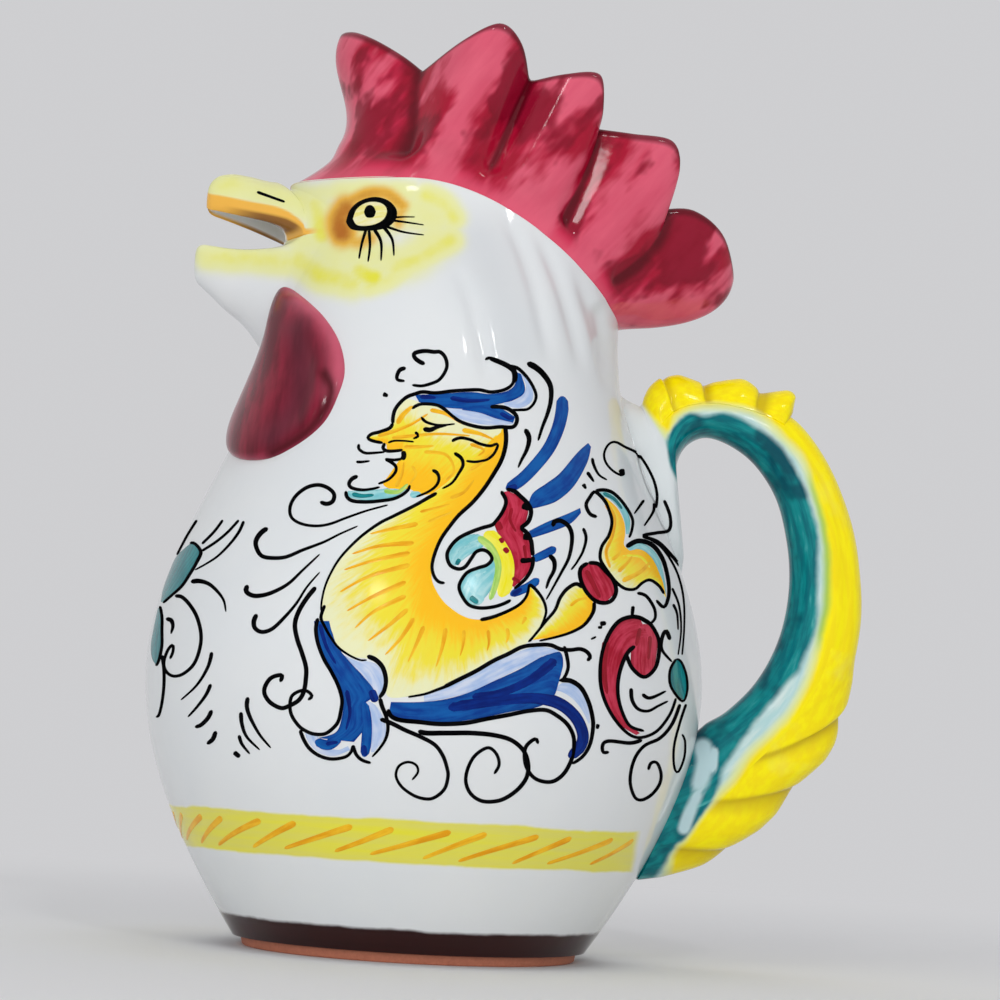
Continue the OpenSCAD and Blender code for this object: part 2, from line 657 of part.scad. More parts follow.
module handle_loop() {
    color(green_glaze)
    handle_body();
}

module handle_crest() {
    color(yellow_glaze)
    ridge(crest_shares, bump_h, crest_half_angle, crest_rows, 0);
}

module tail_feathers() {
    color(yellow_glaze)
    ridge(feather_shares, feather_t, feather_half_angle, feather_rows, feather_slant);
}

foot_ring();
base_floor();
belly_shell();
neck_shell();
head_shell();
comb_collar();
upper_beak();
lower_beak();
wattle_left();
wattle_right();
handle_loop();
handle_crest();
tail_feathers();
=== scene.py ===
# %% [markdown]
# # A rooster pitcher in tin glaze
# The real pitcher is cast in red clay, luted together from its parts, dipped in white tin glaze and
# painted with a brush before the glaze is fired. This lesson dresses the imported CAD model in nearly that
# order: first the camera, then the clay forms, the brushwork and the glazes, and last the studio with its
# light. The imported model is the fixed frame, so it is loaded first and its box is measured before anything
# is added.

# %% The frame
import math

import bpy
import numpy as np
from mathutils import Matrix, Vector
from mathutils.bvhtree import BVHTree


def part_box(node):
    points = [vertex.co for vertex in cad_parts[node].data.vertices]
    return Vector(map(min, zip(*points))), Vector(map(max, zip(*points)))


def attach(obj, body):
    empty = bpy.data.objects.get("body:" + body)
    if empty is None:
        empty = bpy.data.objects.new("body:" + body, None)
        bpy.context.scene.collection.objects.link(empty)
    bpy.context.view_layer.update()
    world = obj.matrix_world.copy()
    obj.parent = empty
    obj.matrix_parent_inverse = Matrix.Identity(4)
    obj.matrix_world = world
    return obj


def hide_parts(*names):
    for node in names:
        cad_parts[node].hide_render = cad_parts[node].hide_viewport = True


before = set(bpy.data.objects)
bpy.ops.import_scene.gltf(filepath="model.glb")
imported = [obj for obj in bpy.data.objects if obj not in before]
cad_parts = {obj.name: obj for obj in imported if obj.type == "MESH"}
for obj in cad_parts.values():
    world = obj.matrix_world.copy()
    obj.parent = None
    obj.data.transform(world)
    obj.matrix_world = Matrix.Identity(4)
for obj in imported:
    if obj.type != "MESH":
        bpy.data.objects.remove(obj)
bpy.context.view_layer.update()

# %% [markdown]
# ## The driving sizes
# Sizes are written in millimetres and turned into Blender's metres by one factor. What the frame already
# knows is read from the boxes of its nodes, and the rest was measured in the photograph.

# %% Driving sizes
MM = 0.001


def top_of(node):
    """Height in mm of the top of a CAD node."""
    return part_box(node)[1].z / MM


def foot_of(node):
    """Height in mm of the bottom of a CAD node."""
    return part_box(node)[0].z / MM


stand_r = 44.5
belly_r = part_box("belly_shell")[1].y / MM
belly_z = 72
throat_r = 44
throat_z = 178
foot_h = foot_of("belly_shell")
collar_z = top_of("neck_shell")
floor_top = top_of("base_floor")
wall = 5
slip = 0.15
print("belly radius", round(belly_r, 2), "foot", round(foot_h, 2), "collar", round(collar_z, 2))

# %% [markdown]
# ## The camera
# A camera that looks slightly up from near the table, with a long lens, gives the photograph's view: the
# rooster in profile, its beak to the left. The small roll leans the whole pitcher a little to the right.
# The same numbers also serve the painter later on, because a brush mark that is placed in the picture has
# to land on the glaze behind it.

# %% Camera
SIDE_PX = 1000
FOCAL_PX = 2400
SENSOR = 36
tilt = math.radians(7)
roll = math.radians(3.3)
aim = Vector((17.37, 0, 121.36)) * MM
distance = 648 * MM

ahead = Vector((0, math.cos(tilt), math.sin(tilt)))
level = Vector((1, 0, 0))
upright = level.cross(ahead)
cam_right = level * math.cos(roll) + upright * math.sin(roll)
cam_up = upright * math.cos(roll) - level * math.sin(roll)
cam_at = aim - ahead * distance

bpy.ops.object.camera_add()
camera = bpy.context.object
camera.name = "Camera"
camera.data.sensor_width = SENSOR
camera.data.lens = SENSOR * FOCAL_PX / SIDE_PX
camera.data.clip_start = 0.01
camera.matrix_world = Matrix.Translation(cam_at) @ Matrix((cam_right, cam_up, -ahead)).transposed().to_4x4()
bpy.context.scene.camera = camera
print("lens", round(camera.data.lens, 1), "mm, height", round(cam_at.z / MM, 1), "mm")


def ray_through(u, v):
    """Direction of the ray through pixel u, v of the picture."""
    return (ahead + cam_right * ((u - SIDE_PX / 2) / FOCAL_PX)
            + cam_up * ((SIDE_PX / 2 - v) / FOCAL_PX)).normalized()


def pixels_of(points):
    """Pixel of each point of an array of points in metres."""
    away = points - np.array(cam_at)
    depth = away @ np.array(ahead)
    return np.stack([SIDE_PX / 2 + FOCAL_PX * (away @ np.array(cam_right)) / depth,
                     SIDE_PX / 2 - FOCAL_PX * (away @ np.array(cam_up)) / depth], -1)


# %% [markdown]
# ## Forms from a grid
# Clay forms such as a comb or a beak have no straight side to extrude. A potter rolls a slab and wraps it,
# and the same works here: a grid primitive is added, each of its points is put where a formula says, and
# the points that meet are merged so that the slab closes. Two faces, an outer and an inner one, make a
# wall with a real thickness.

# %% Helpers for forms
merge_mm, form_crease, fine_crease = 0.002, 60, 40


def lerp(a, b, share):
    """Goes from a to b as the share goes from nought to one."""
    return a + (b - a) * share


def smooth(share):
    """Eases from nought to one."""
    share = np.clip(share, 0, 1)
    return share * share * (3 - 2 * share)


def spline(points, t):
    """Catmull-Rom curve through points at the places t, which run from nought to the number of spans."""
    points = np.asarray(points, float)
    t = np.asarray(t, float)
    last = len(points) - 1
    i = np.clip(np.floor(t).astype(int), 0, last - 1)
    share = (t - i)[..., None]
    p0, p1 = points[np.maximum(i - 1, 0)], points[i]
    p2, p3 = points[i + 1], points[np.minimum(i + 2, last)]
    return (p1 * 2 + (p2 - p0) * share + (p0 * 2 - p1 * 5 + p2 * 4 - p3) * share ** 2
            + (p1 * 3 - p0 - p2 * 3 + p3) * share ** 3) / 2


def deselect():
    if bpy.context.object and bpy.context.object.mode != "OBJECT":
        bpy.ops.object.mode_set(mode="OBJECT")
    bpy.ops.object.select_all(action="DESELECT")


def select_only(piece):
    deselect()
    piece.select_set(True)
    bpy.context.view_layer.objects.active = piece


def close_form(piece, crease=form_crease):
    """Merges the points that meet, turns the faces outwards and shades smooth what is below the crease,
    an angle in degrees."""
    select_only(piece)
    bpy.ops.object.mode_set(mode="EDIT")
    bpy.ops.mesh.select_all(action="SELECT")
    bpy.ops.mesh.remove_doubles(threshold=merge_mm * MM)
    bpy.ops.mesh.normals_make_consistent(inside=False)
    bpy.ops.object.mode_set(mode="OBJECT")
    bpy.ops.object.shade_smooth_by_angle(angle=math.radians(crease))
    return piece


def wrap_grid(name, places):
    """Adds a grid of rows by columns and puts its points at places, an array in mm."""
    rows, cols = places.shape[:2]
    deselect()
    bpy.ops.mesh.primitive_grid_add(x_subdivisions=cols - 1, y_subdivisions=rows - 1, size=1)
    piece = bpy.context.object
    piece.name = piece.data.name = name
    piece.data.vertices.foreach_set("co", np.ascontiguousarray(places * MM, np.float32).ravel())
    piece.data.update()
    return piece


def slab(name, outer, inner):
    """A closed slab between an outer and an inner face, both arrays of rows by columns in mm."""
    ring = np.concatenate([outer, inner[:, ::-1], outer[:, :1]], 1)
    seam = (outer + inner) / 2
    fold = np.concatenate([seam, seam[:, ::-1], seam[:, :1]], 1)
    return wrap_grid(name, np.concatenate([fold[:1], ring, fold[-1:]]))


def with_ends(rows):
    """Rows with the first and the last one doubled, for the points that close a form at its ends."""
    return np.concatenate([rows[:1], rows, rows[-1:]])


def mark_points(piece, label, values):
    """Stores a number for each point of a piece, which its finish reads."""
    layer = piece.data.attributes.new(label, "FLOAT", "POINT")
    layer.data.foreach_set("value", np.ascontiguousarray(values, np.float32).ravel())


def lay_uv(piece, flat):
    """Lays the piece's UV map by a pair of numbers for each of its points, and gives its faces' corners."""
    corner = np.empty(len(piece.data.loops), int)
    piece.data.loops.foreach_get("vertex_index", corner)
    pairs = flat.reshape(-1, 2)[corner]
    piece.data.uv_layers[0].data.foreach_set("uv", np.ascontiguousarray(pairs, np.float32).ravel())
    return corner


def report(piece):
    """Prints a piece's size and its number of faces."""
    low, high = (np.array(piece.bound_box)[k] for k in (0, 6))
    print(piece.name, len(piece.data.polygons), "faces,", ((high - low) / MM).round(1), "mm")
    return piece


print("points closer than", merge_mm, "mm are merged")


# %% [markdown]
# ## The turned body and the head
# The belly and neck are a surface of revolution: a profile spun about the axis. The head grows out of the
# neck and turns from round to oval, so the spun form would need its rings squeezed one by one. Laying the
# grid with a radius that depends on the height and on the side does both at once.

# %% Profile of the body
head_front, head_back, head_half_w = 44.8, 46, 29
crown_z, nape_z, crown_x, brow_rise = 202, 170.4, 12, 1.8
belly_power = shoulder_power = 0.95


def body_radius(z):
    """Radius of the turned body at height z."""
    low = lerp(stand_r, belly_r, np.sin(np.pi / 2 * np.clip(z / belly_z, 0, 1)) ** belly_power)
    closing = np.clip((z - belly_z) / (throat_z - belly_z), 0, 1) ** shoulder_power
    high = lerp(throat_r, belly_r, (1 + np.cos(np.pi * closing)) / 2)
    return np.where(z < belly_z, low, high)


collar_r = float(body_radius(collar_z))
profile_step, blend_rows = 0.5, 21
profile_z = np.arange(0, crown_z + 8, profile_step)
joint_reach, joint_fade = 25, 15


def softened(radii):
    """Averages a profile over neighbouring heights, as a glazed joint is."""
    kernel = np.ones(blend_rows) / blend_rows
    for _ in range(2):
        padded = np.pad(radii, blend_rows // 2, mode="reflect", reflect_type="odd")
        radii = np.convolve(padded, kernel, mode="valid")
    return radii


def half_profiles():
    """Front, back and side half sizes of the body at each profile height."""
    rise = np.clip((profile_z - collar_z) / (crown_z - collar_z), 0, 1)
    turned = body_radius(profile_z)
    lift = np.sin(np.pi / 2 * rise)
    sides = (lerp(collar_r, head_front, lift), lerp(collar_r, head_back, lift),
             lerp(head_half_w, collar_r, (1 + np.cos(np.pi * rise)) / 2))
    near_joint = (smooth((profile_z - collar_z + joint_reach) / joint_fade)
                  * smooth((collar_z + joint_reach - profile_z) / joint_fade))
    found = []
    for side in sides:
        raw = np.where(profile_z < collar_z, turned, side)
        found.append(lerp(raw, softened(raw), near_joint))
    return found


front_half, back_half, side_half = half_profiles()


def skin(angle, z, depth=0.0):
    """Point of the body's outer face at an angle from the handle and a height, in mm."""
    ahead_half = np.interp(z, profile_z, front_half)
    behind_half = np.interp(z, profile_z, back_half)
    long_half = np.where(np.cos(angle) < 0, ahead_half, behind_half)
    return np.stack([np.cos(angle) * (long_half - depth),
                     np.sin(angle) * (np.interp(z, profile_z, side_half) - depth),
                     np.broadcast_to(z, np.shape(angle))], -1)


def border_z(angle):
    """Height of the line where the head ends and the comb starts."""
    x = np.cos(angle) * np.where(np.cos(angle) < 0, head_front, head_back)
    behind = crown_z - (crown_z - nape_z) * ((x + crown_x) / (head_back + crown_x)) ** 2
    before = crown_z + brow_rise * ((x + crown_x) / (head_front - crown_x)) ** 4
    return np.where(x > -crown_x, behind, before)


print("collar radius", round(collar_r, 2), "mm, softened over", blend_rows * profile_step, "mm")

# %% [markdown]
# The plumage of the neck shows as soft flutes that sweep down from the comb. They are pressed in along
# lines that are named by their places in the picture, with a depth that fades at both ends. A point's
# distance from such a line is measured in the picture too, so the far side gets the same flutes mirrored.
# Every line of the picture is written as its points u,v one after another, in pixels.

# %% Lines in the picture
def near_side(points):
    """Copies of points with those of the far side mirrored to the near one."""
    near = np.array(points, float)
    near[..., 1] = -np.abs(near[..., 1])
    return near


def line_mark(points, line, width, ends=0):
    """Strength of a soft line at each point in mm: one on the line, fading over its width in pixels.
    Ends is the share of the line over which it also fades at both of its ends."""
    at = pixels_of(near_side(points) * MM)
    line = np.reshape(line, (-1, 2))
    dense = spline(line, np.linspace(0, len(line) - 1, 40))
    best = np.full(at.shape[:-1], 1e9)
    place = np.zeros(at.shape[:-1])
    for k in range(len(dense) - 1):
        a, b = dense[k], dense[k + 1]
        along = np.clip(((at - a) @ (b - a)) / max((b - a) @ (b - a), 1e-9), 0, 1)
        gap = np.linalg.norm(at - a - along[..., None] * (b - a), axis=-1)
        nearer = gap < best
        best = np.where(nearer, gap, best)
        place = np.where(nearer, (k + along) / (len(dense) - 1), place)
    fade = smooth(place / ends) * smooth((1 - place) / ends) if ends else 1
    return np.exp(-(best / width) ** 2) * fade


flute_lines = {
    "nape": [600,300, 606,330, 612,372],
    "last": [572,262, 592,312, 604,362, 612,400],
    "second": [534,228, 556,272, 574,330, 584,380],
    "first": [497,203, 522,250, 540,310, 552,372],
    "cheek": [452,262, 470,300, 482,346, 490,390],
}
flute_depth, flute_px, flute_ends, flutes_from_z = 1.1, 7.5, 0.3, 100
print(len(flute_lines), "flutes a side")

# %% The glazed body
turn_steps, rise_steps = 288, 190
rim_depth, ring_depth, axis_depth = 5, 14, stand_r - 0.001
turn = np.linspace(0, 2 * np.pi, turn_steps + 1)
share = np.linspace(0, 1, rise_steps + 1)[:, None]
top_line = border_z(turn)[None]
heights = lerp(foot_h, top_line, share)
outer = skin(np.broadcast_to(turn, heights.shape), heights)
facing = outer / np.linalg.norm(outer * [1, 1, 0], axis=-1, keepdims=True) * [1, 1, 0]
upper = outer[:, :, 2] > flutes_from_z
for line in flute_lines.values():
    outer -= facing * (flute_depth * line_mark(outer, line, flute_px, flute_ends) * upper)[..., None]
inner_z = lerp(floor_top, top_line, share[::2])
inner = skin(np.broadcast_to(turn, inner_z.shape), inner_z, wall)
under = np.stack([skin(turn, np.full_like(turn, foot_h), d) for d in (axis_depth, ring_depth, rim_depth)])
bowl = np.stack([skin(turn, np.full_like(turn, floor_top), d) for d in (ring_depth, axis_depth)])
under[0, :, :2] = bowl[1, :, :2] = 0
body = wrap_grid("glazed_body", np.concatenate([under, outer, inner[::-1], bowl]))
close_form(body, fine_crease)
report(body)

# %% [markdown]
# The mouth is a window in the front of the head. It is cut as by hand: the faces that lie in it are picked
# by their place and deleted on both walls, and the two rims that are left are bridged, which gives the
# window the thickness of the clay.

# %% The window of the mouth
window_half_w, window_low, window_high, front_x = 9.6, 175, 195, -30


def pick_faces(piece, chosen):
    """Opens a piece in edit mode with the faces selected that a list of yes and no picks."""
    select_only(piece)
    bpy.ops.object.mode_set(mode="EDIT")
    bpy.ops.mesh.select_mode(type="FACE")
    bpy.ops.mesh.select_all(action="DESELECT")
    bpy.ops.object.mode_set(mode="OBJECT")
    piece.data.polygons.foreach_set("select", chosen)
    bpy.ops.object.mode_set(mode="EDIT")


def in_window(middle):
    """Whether a place in mm lies in the window."""
    return middle.x < front_x and abs(middle.y) < window_half_w and window_low < middle.z < window_high


pick_faces(body, [in_window(face.center / MM) for face in body.data.polygons])
bpy.ops.mesh.delete(type="FACE")
bpy.ops.mesh.select_mode(type="EDGE")
bpy.ops.mesh.select_non_manifold()
bpy.ops.mesh.bridge_edge_loops()
bpy.ops.object.mode_set(mode="OBJECT")
close_form(body, fine_crease)
report(body)

# %% [markdown]
# ## The comb
# The red comb is a standing collar of eight lobes, and the pitcher is filled between its sides. Each column
# of the grid is a curve that leaves the head, swings over the brow or the nape and ends on the edge of its
# lobe. Between the lobes the sheet is pressed in, so that each groove starts in a rounded pocket above the
# head and ends in a notch of the edge.

# %% The comb's edge
comb_top, comb_back, comb_half_w = 248, 77, 31
comb_wall, fold_depth, brow_dip, nape_sag, comb_lap = 4.2, 2.6, 26, 9, 0.3
lobe_edges = [-28, 28, 51.5, 81.5, 113.5, 246.5, 278.5, 308.5, 332]
lobe_cols = [44, 32, 34, 34, 72, 34, 34, 32]
back_lobe = [[0.76, 0.6, 0.37], [0.85, 0.53, 0.375], [0.95, 0.36, 0.31], [1, 0, 0.2]]
side_lobes = [
    [[0.76, 0.6, 0.37], [0.775, 0.7, 0.51], [0.735, 0.77, 0.59], [0.6, 0.79, 0.605], [0.51, 0.8, 0.62]],
    [[0.51, 0.8, 0.62], [0.5, 0.86, 0.69], [0.475, 0.93, 0.785], [0.36, 0.93, 0.785], [0.25, 0.86, 0.775]],
    [[0.25, 0.86, 0.775], [0.21, 0.95, 0.88], [0.13, 1, 0.935], [0.01, 0.9, 0.89], [-0.15, 0.66, 0.81]]]
front_lobe = [
    [-0.15, 0.66, 0.81], [-0.22, 0.55, 0.87], [-0.31, 0.38, 0.94], [-0.38, 0.2, 0.985], [-0.42, 0, 1]]


def far(curve):
    """The same curve on the far side."""
    return [[x, -y, z] for x, y, z in curve]


edge_curves = ([far(back_lobe) + back_lobe[-2::-1]] + side_lobes + [front_lobe + far(front_lobe)[-2::-1]]
               + [far(curve)[::-1] for curve in side_lobes[::-1]])
column_angle, column_share, rim = [], [], []
for k, curve in enumerate(edge_curves):
    steps = np.arange(lobe_cols[k]) / lobe_cols[k]
    column_angle.append(np.radians(lerp(lobe_edges[k], lobe_edges[k + 1], steps)))
    column_share.append(steps)
    sized = np.array(curve) * [comb_back, comb_half_w, comb_top - nape_z] + [0, 0, nape_z]
    rim.append(spline(sized, steps * (len(curve) - 1)))
column_angle, column_share, rim = (np.concatenate(a) for a in (column_angle, column_share, rim))
off_notch = np.minimum(column_share, 1 - column_share)
print(len(column_angle), "columns in", len(edge_curves), "lobes")

# %% The comb's sheet
sheet_rows, cap_rows, rim_start = 56, 8, 0.985
pocket_start, pocket_share, groove_share, lobe_swell = 0.13, 0.13, 0.19, 0.6
lean_share, cap_share, pool_share, pool_start, pool_fade = 0.3, 0.8, 0.085, 0.08, 0.2
front_power, back_power = 3.5, 8


def comb_face(v):
    """Outer face of the comb at a share v of the way from the head to the edge."""
    base = skin(column_angle, border_z(column_angle) - comb_lap, -slip / 2)
    front = ((1 - np.cos(column_angle)) / 2)[:, None] ** front_power
    back = ((1 + np.cos(column_angle)) / 2)[:, None] ** back_power
    first = (lerp(base, rim, 1 / 3) + front * [brow_dip, 0, brow_dip / 8]
             - back * [nape_sag / 4, 0, nape_sag / 2])
    second = lerp(base, rim, 2 / 3) - front * [brow_dip / 12, 0, 0] + back * [nape_sag, 0, -nape_sag]
    v = v[:, None, None]
    sheet = base * (1 - v) ** 3 + first * 3 * v * (1 - v) ** 2 + second * 3 * v * v * (1 - v) + rim * v ** 3
    groove = ((1 + lobe_swell) * np.exp(-(off_notch / groove_share) ** 2) - lobe_swell)[None, :, None]
    outward = np.stack([np.cos(column_angle), np.sin(column_angle), 0 * column_angle], -1)
    depth = fold_depth * (1 - 0.55 * back[None] ** 0.5)
    return sheet - depth * groove * smooth((v - pocket_start) / pocket_share) * outward


def face_normals(grid):
    """Outward normals of a grid that closes round its columns."""
    across = np.roll(grid, -2, 1) - np.roll(grid, 2, 1)
    up = np.gradient(grid, axis=0)
    normal = np.cross(across, up)
    return normal / np.linalg.norm(normal, axis=-1, keepdims=True)


comb_v = np.linspace(0, rim_start, sheet_rows)
comb_outer = comb_face(comb_v)
comb_normal = face_normals(comb_outer)
head_inside = skin(column_angle, border_z(column_angle) - comb_lap, wall)
leaning = head_inside + comb_outer - comb_outer[:1]
turned_in = smooth(comb_v / lean_share)[:, None, None]
comb_inner = lerp(leaning, comb_outer - comb_wall * comb_normal, turned_in)
half_across = (comb_outer[-1] - comb_inner[-1]) / 2
middle = (comb_outer[-1] + comb_inner[-1]) / 2
rise = comb_outer[-1] - comb_outer[-2]
rise = rise / np.linalg.norm(rise, axis=-1, keepdims=True)
round_over = [middle + half_across * np.cos(a) + rise * comb_wall / 2 * cap_share * np.sin(a)
              for a in np.linspace(0, np.pi, cap_rows + 2)[1:-1]]
ring = np.concatenate([comb_outer, round_over, comb_inner[::-1], comb_outer[:1]])
ring = np.concatenate([ring, ring[:, :1]], 1)
comb = wrap_grid("comb", ring)
rise_share = np.concatenate([comb_v, np.ones(cap_rows), comb_v[::-1], comb_v[:1]])[:, None]
rise_share = rise_share + 0 * ring[..., 0]
pooled = (np.append(np.exp(-(off_notch / pool_share) ** 2), 1)[None]
          * smooth((rise_share - pool_start) / pool_fade))
lobe_middle = np.append(2 * off_notch, 0)[None] + 0 * rise_share
for label, values in (("rise", rise_share), ("pool", pooled), ("middle", lobe_middle)):
    mark_points(comb, label, values)
close_form(comb)
report(comb)

# %% [markdown]
# ## The beak
# Each half of the beak is a trough whose sections shrink towards the tip: a table gives the place, the half
# width, the edge, the depth and the hollow of each section as shares of the beak's own sizes, and a smooth
# curve runs through the table. The root flares a little, as the slip does that holds it to the head.

# %% The two halves of the beak
beak_half_w, beak_wall, mouth_z = 14, 3.4, 186.8
upper_reach, lower_reach, bill_h, chin_h = 22.7, 24.7, 16, 29
upper_sections = [
    [0, 1, 0, 1, 0.76], [0.25, 0.93, 0, 0.8, 0.72], [0.5, 0.66, 0, 0.74, 0.68], [0.7, 0.48, 0, 0.69, 0.62],
    [0.85, 0.36, 0, 0.6, 0.45], [0.93, 0.28, 0, 0.5, 0.2], [0.98, 0.18, 0.03, 0.34, 0.1],
    [1, 0.05, 0.12, 0.1, 0.05]]
lower_sections = [
    [0, 1, 0, 1, 0.68], [0.06, 0.99, 0, 0.95, 0.67], [0.11, 0.98, 0.06, 0.84, 0.67],
    [0.2, 0.94, 0.085, 0.75, 0.66], [0.4, 0.77, 0.09, 0.6, 0.62], [0.6, 0.58, 0.075, 0.5, 0.55],
    [0.78, 0.46, 0.05, 0.4, 0.4], [0.9, 0.38, 0.035, 0.33, 0.15], [0.96, 0.29, 0.05, 0.27, 0.08],
    [0.99, 0.18, 0.09, 0.17, 0.05], [1, 0.05, 0.14, 0.05, 0.03]]
corner_place, gape_share, lip_start = 0.075, 0.59, 0.12
beak_rows, beak_arc, lip_round, root_sink, flare_share = 96, 96, 1.3, 0.4, 0.55
lip_band, lip_thin, lip_soft, lip_line_w, lip_rows = 3.3, 1.7, 0.6, 0.45, 3
side_flare, crown_flare, chin_flare = 0.9, 0.03, 0.26


def head_face_x(y, z):
    """Place along X of the front of the head, where the beak is rooted."""
    reach = np.interp(z, profile_z, front_half)
    return -reach * np.sqrt(np.clip(1 - (y / np.interp(z, profile_z, side_half)) ** 2, 0, 1))


def mark_lip(piece, place, off_lip, painted):
    """Holds the amber band and the fine brown line that are painted along the edge of the upper half."""
    band_w = lerp(lip_thin, lip_band, smooth(place / 0.3))
    rim = smooth((place - 0.01) / 0.04) + np.zeros((beak_rows, lip_rows))
    band = np.concatenate([smooth((band_w - off_lip) / lip_soft), rim, 0 * off_lip, rim, rim[:, :1]], 1)
    band = band * smooth((place - 0.02) / 0.04)
    edge = np.ones((beak_rows, lip_rows))
    fine = np.concatenate([np.exp(-(off_lip / lip_line_w) ** 2), edge, 0 * off_lip, edge, edge[:, :1]], 1)
    fine = fine * smooth((0.84 - place) / 0.5) * smooth((place - 0.06) / 0.07)
    for label, marked in (("lip", band), ("lip_line", fine)):
        mark_points(piece, label, painted * with_ends(marked))


def half_beak(name, sections, reach, height, side):
    """One half of the beak: side is 1 for the upper half and -1 for the lower."""
    t = np.linspace(0, 1, beak_rows) ** 2 * (len(sections) - 1)
    place, half_share, edge_share, depth_share, hollow = spline(sections, t).T[..., None]
    arc = np.linspace(0, np.pi, beak_arc + 1)[None]
    flared = (1 - np.sqrt(np.clip(place / flare_share, 0, 1))) ** 2
    opening = np.clip((place - corner_place) / (1 - corner_place), 0, 1)
    lip_size = lip_round * np.minimum(1, opening / lip_start) ** 0.5
    gape = gape_share * np.sqrt(opening) if side > 0 else 0
    edge = mouth_z + side * ((edge_share + gape) * height + lip_size)

    def face(half_w, depth):
        y = np.cos(arc) * half_w
        z = edge + side * np.sin(arc) * depth
        x = lerp(head_face_x(y, z) + root_sink, -head_front - reach, place)
        return np.stack([x, y, z], -1)

    half_w = half_share * beak_half_w
    depth = depth_share * height
    outside = face(half_w * (1 + side_flare * flared),
                   depth * (1 + (crown_flare if side > 0 else chin_flare) * flared))
    inside = face(half_w * (1 - beak_wall / beak_half_w), depth * hollow)
    lip = []
    for a in np.linspace(0, np.pi, lip_rows + 2)[1:-1]:
        mid = (outside + inside) / 2 + (outside - inside) / 2 * np.cos(a)
        lip.append(mid - side * math.sin(a) * lip_size[..., None] * np.array([0, 0, 1]))
    left = [row[:, :1] for row in lip]
    right = [row[:, -1:] for row in lip]
    ring = np.concatenate([outside, *right, inside[:, ::-1], *left[::-1], outside[:, :1]], 1)
    core = (outside + inside) / 2
    fold = np.concatenate([core, *[core[:, -1:]] * lip_rows, core[:, ::-1], *[core[:, :1]] * lip_rows,
                           core[:, :1]], 1)
    piece = wrap_grid(name, np.concatenate([fold[:1], ring, fold[-1:]]))
    within = np.repeat([0, 1, 0], [beak_arc + 1 + lip_rows, beak_arc + 1, lip_rows + 1])
    mark_points(piece, "inner", np.broadcast_to(within, (beak_rows + 2, len(within))))
    mark_lip(piece, place, np.sin(arc) * depth, side > 0)
    return close_form(piece)


upper_beak = report(half_beak("upper_beak_glazed", upper_sections, upper_reach, bill_h, 1))
lower_beak = report(half_beak("lower_beak_glazed", lower_sections, lower_reach, chin_h, -1))

# %% [markdown]
# ## The wattles
# A wattle is a pad of clay pressed on the throat, thick in its middle, with its lower edge rolled over. A
# round grid fits it: its rings grow from the middle of the pad to the outline, turn over the edge and come
# back under it, so that the pad is closed.

# %% The wattles
wattle_low, wattle_high, wattle_span, wattle_t = 123.5, 174, 61.5, 5.2
wattle_outline = [
    [0.32, 1], [0.49, 0.945], [0.66, 0.86], [0.81, 0.755], [0.93, 0.62], [1, 0.46], [1, 0.32], [0.97, 0.18],
    [0.88, 0.07], [0.75, 0], [0.59, 0], [0.42, 0.04], [0.25, 0.11], [0.1, 0.21], [0.05, 0.36], [0.08, 0.52],
    [0.17, 0.65], [0.26, 0.8]]
wattle_middle = np.array([0.56, 0.42])
wattle_rings, wattle_cols, back_step = 34, 120, 6
fold_line = [318,366, 327,384, 326,402, 315,423, 297,441, 276,455]
hollow_line = [297,330, 301,362, 300,390, 290,415, 272,438]
fold_press, fold_px, fold_ends = 1.7, 4.5, 0.12
hollow_press, hollow_px, hollow_ends = 1.9, 15, 0.3
wattle_sunk, wattle_back = 0.6, 1.0


def wattle_point(at, height):
    """Point of the pad at a share of its span and height, standing off the skin."""
    angle = np.radians(at[..., 0] * wattle_span)
    z = lerp(wattle_low, wattle_high, at[..., 1])
    return skin(np.pi + angle, z, -height)


padded = np.array([wattle_outline[-1]] + wattle_outline + wattle_outline[:2])
outline = spline(padded, 1 + np.linspace(0, len(wattle_outline), wattle_cols + 1))
ring_share = np.sin(np.linspace(0, np.pi / 2, wattle_rings))[:, None, None]
spots = lerp(wattle_middle, outline[None], ring_share)
swell = np.sqrt(np.clip(1 - ring_share[..., 0] ** 4, 0, 1))
pad = wattle_point(spots, wattle_t * swell - wattle_sunk)
pressed = (fold_press * line_mark(pad, fold_line, fold_px, fold_ends)
           + hollow_press * line_mark(pad, hollow_line, hollow_px, hollow_ends))
pad = wattle_point(spots, (wattle_t - pressed) * swell - wattle_sunk)
back = wattle_point(spots[::back_step], -wattle_back)
wattle_right = wrap_grid("wattle_right_glazed", np.concatenate([pad, back[::-1]]))
edge_share = np.concatenate([ring_share[:, 0, 0], ring_share[::back_step, 0, 0][::-1]])[:, None] ** 2
mark_points(wattle_right, "edge", edge_share + np.zeros(wattle_cols + 1)[None])
close_form(wattle_right)
report(wattle_right)


def far_copy(piece, name):
    """A mirrored copy of a piece for the far side."""
    select_only(piece)
    bpy.ops.object.duplicate()
    copy = bpy.context.object
    copy.name = copy.data.name = name
    copy.data.transform(Matrix.Scale(-1, 4, (0, 1, 0)))
    copy.data.flip_normals()
    return copy


wattle_left = far_copy(wattle_right, "wattle_left_glazed")

# %% [markdown]
# ## The handle
# A handle like this is pulled from a carrot of clay and bent over. Its stations give the inner and outer
# edge in the plane of the profile and the half width, and an oval is swept through them. Both roots lie
# against the body and sink into it a little.

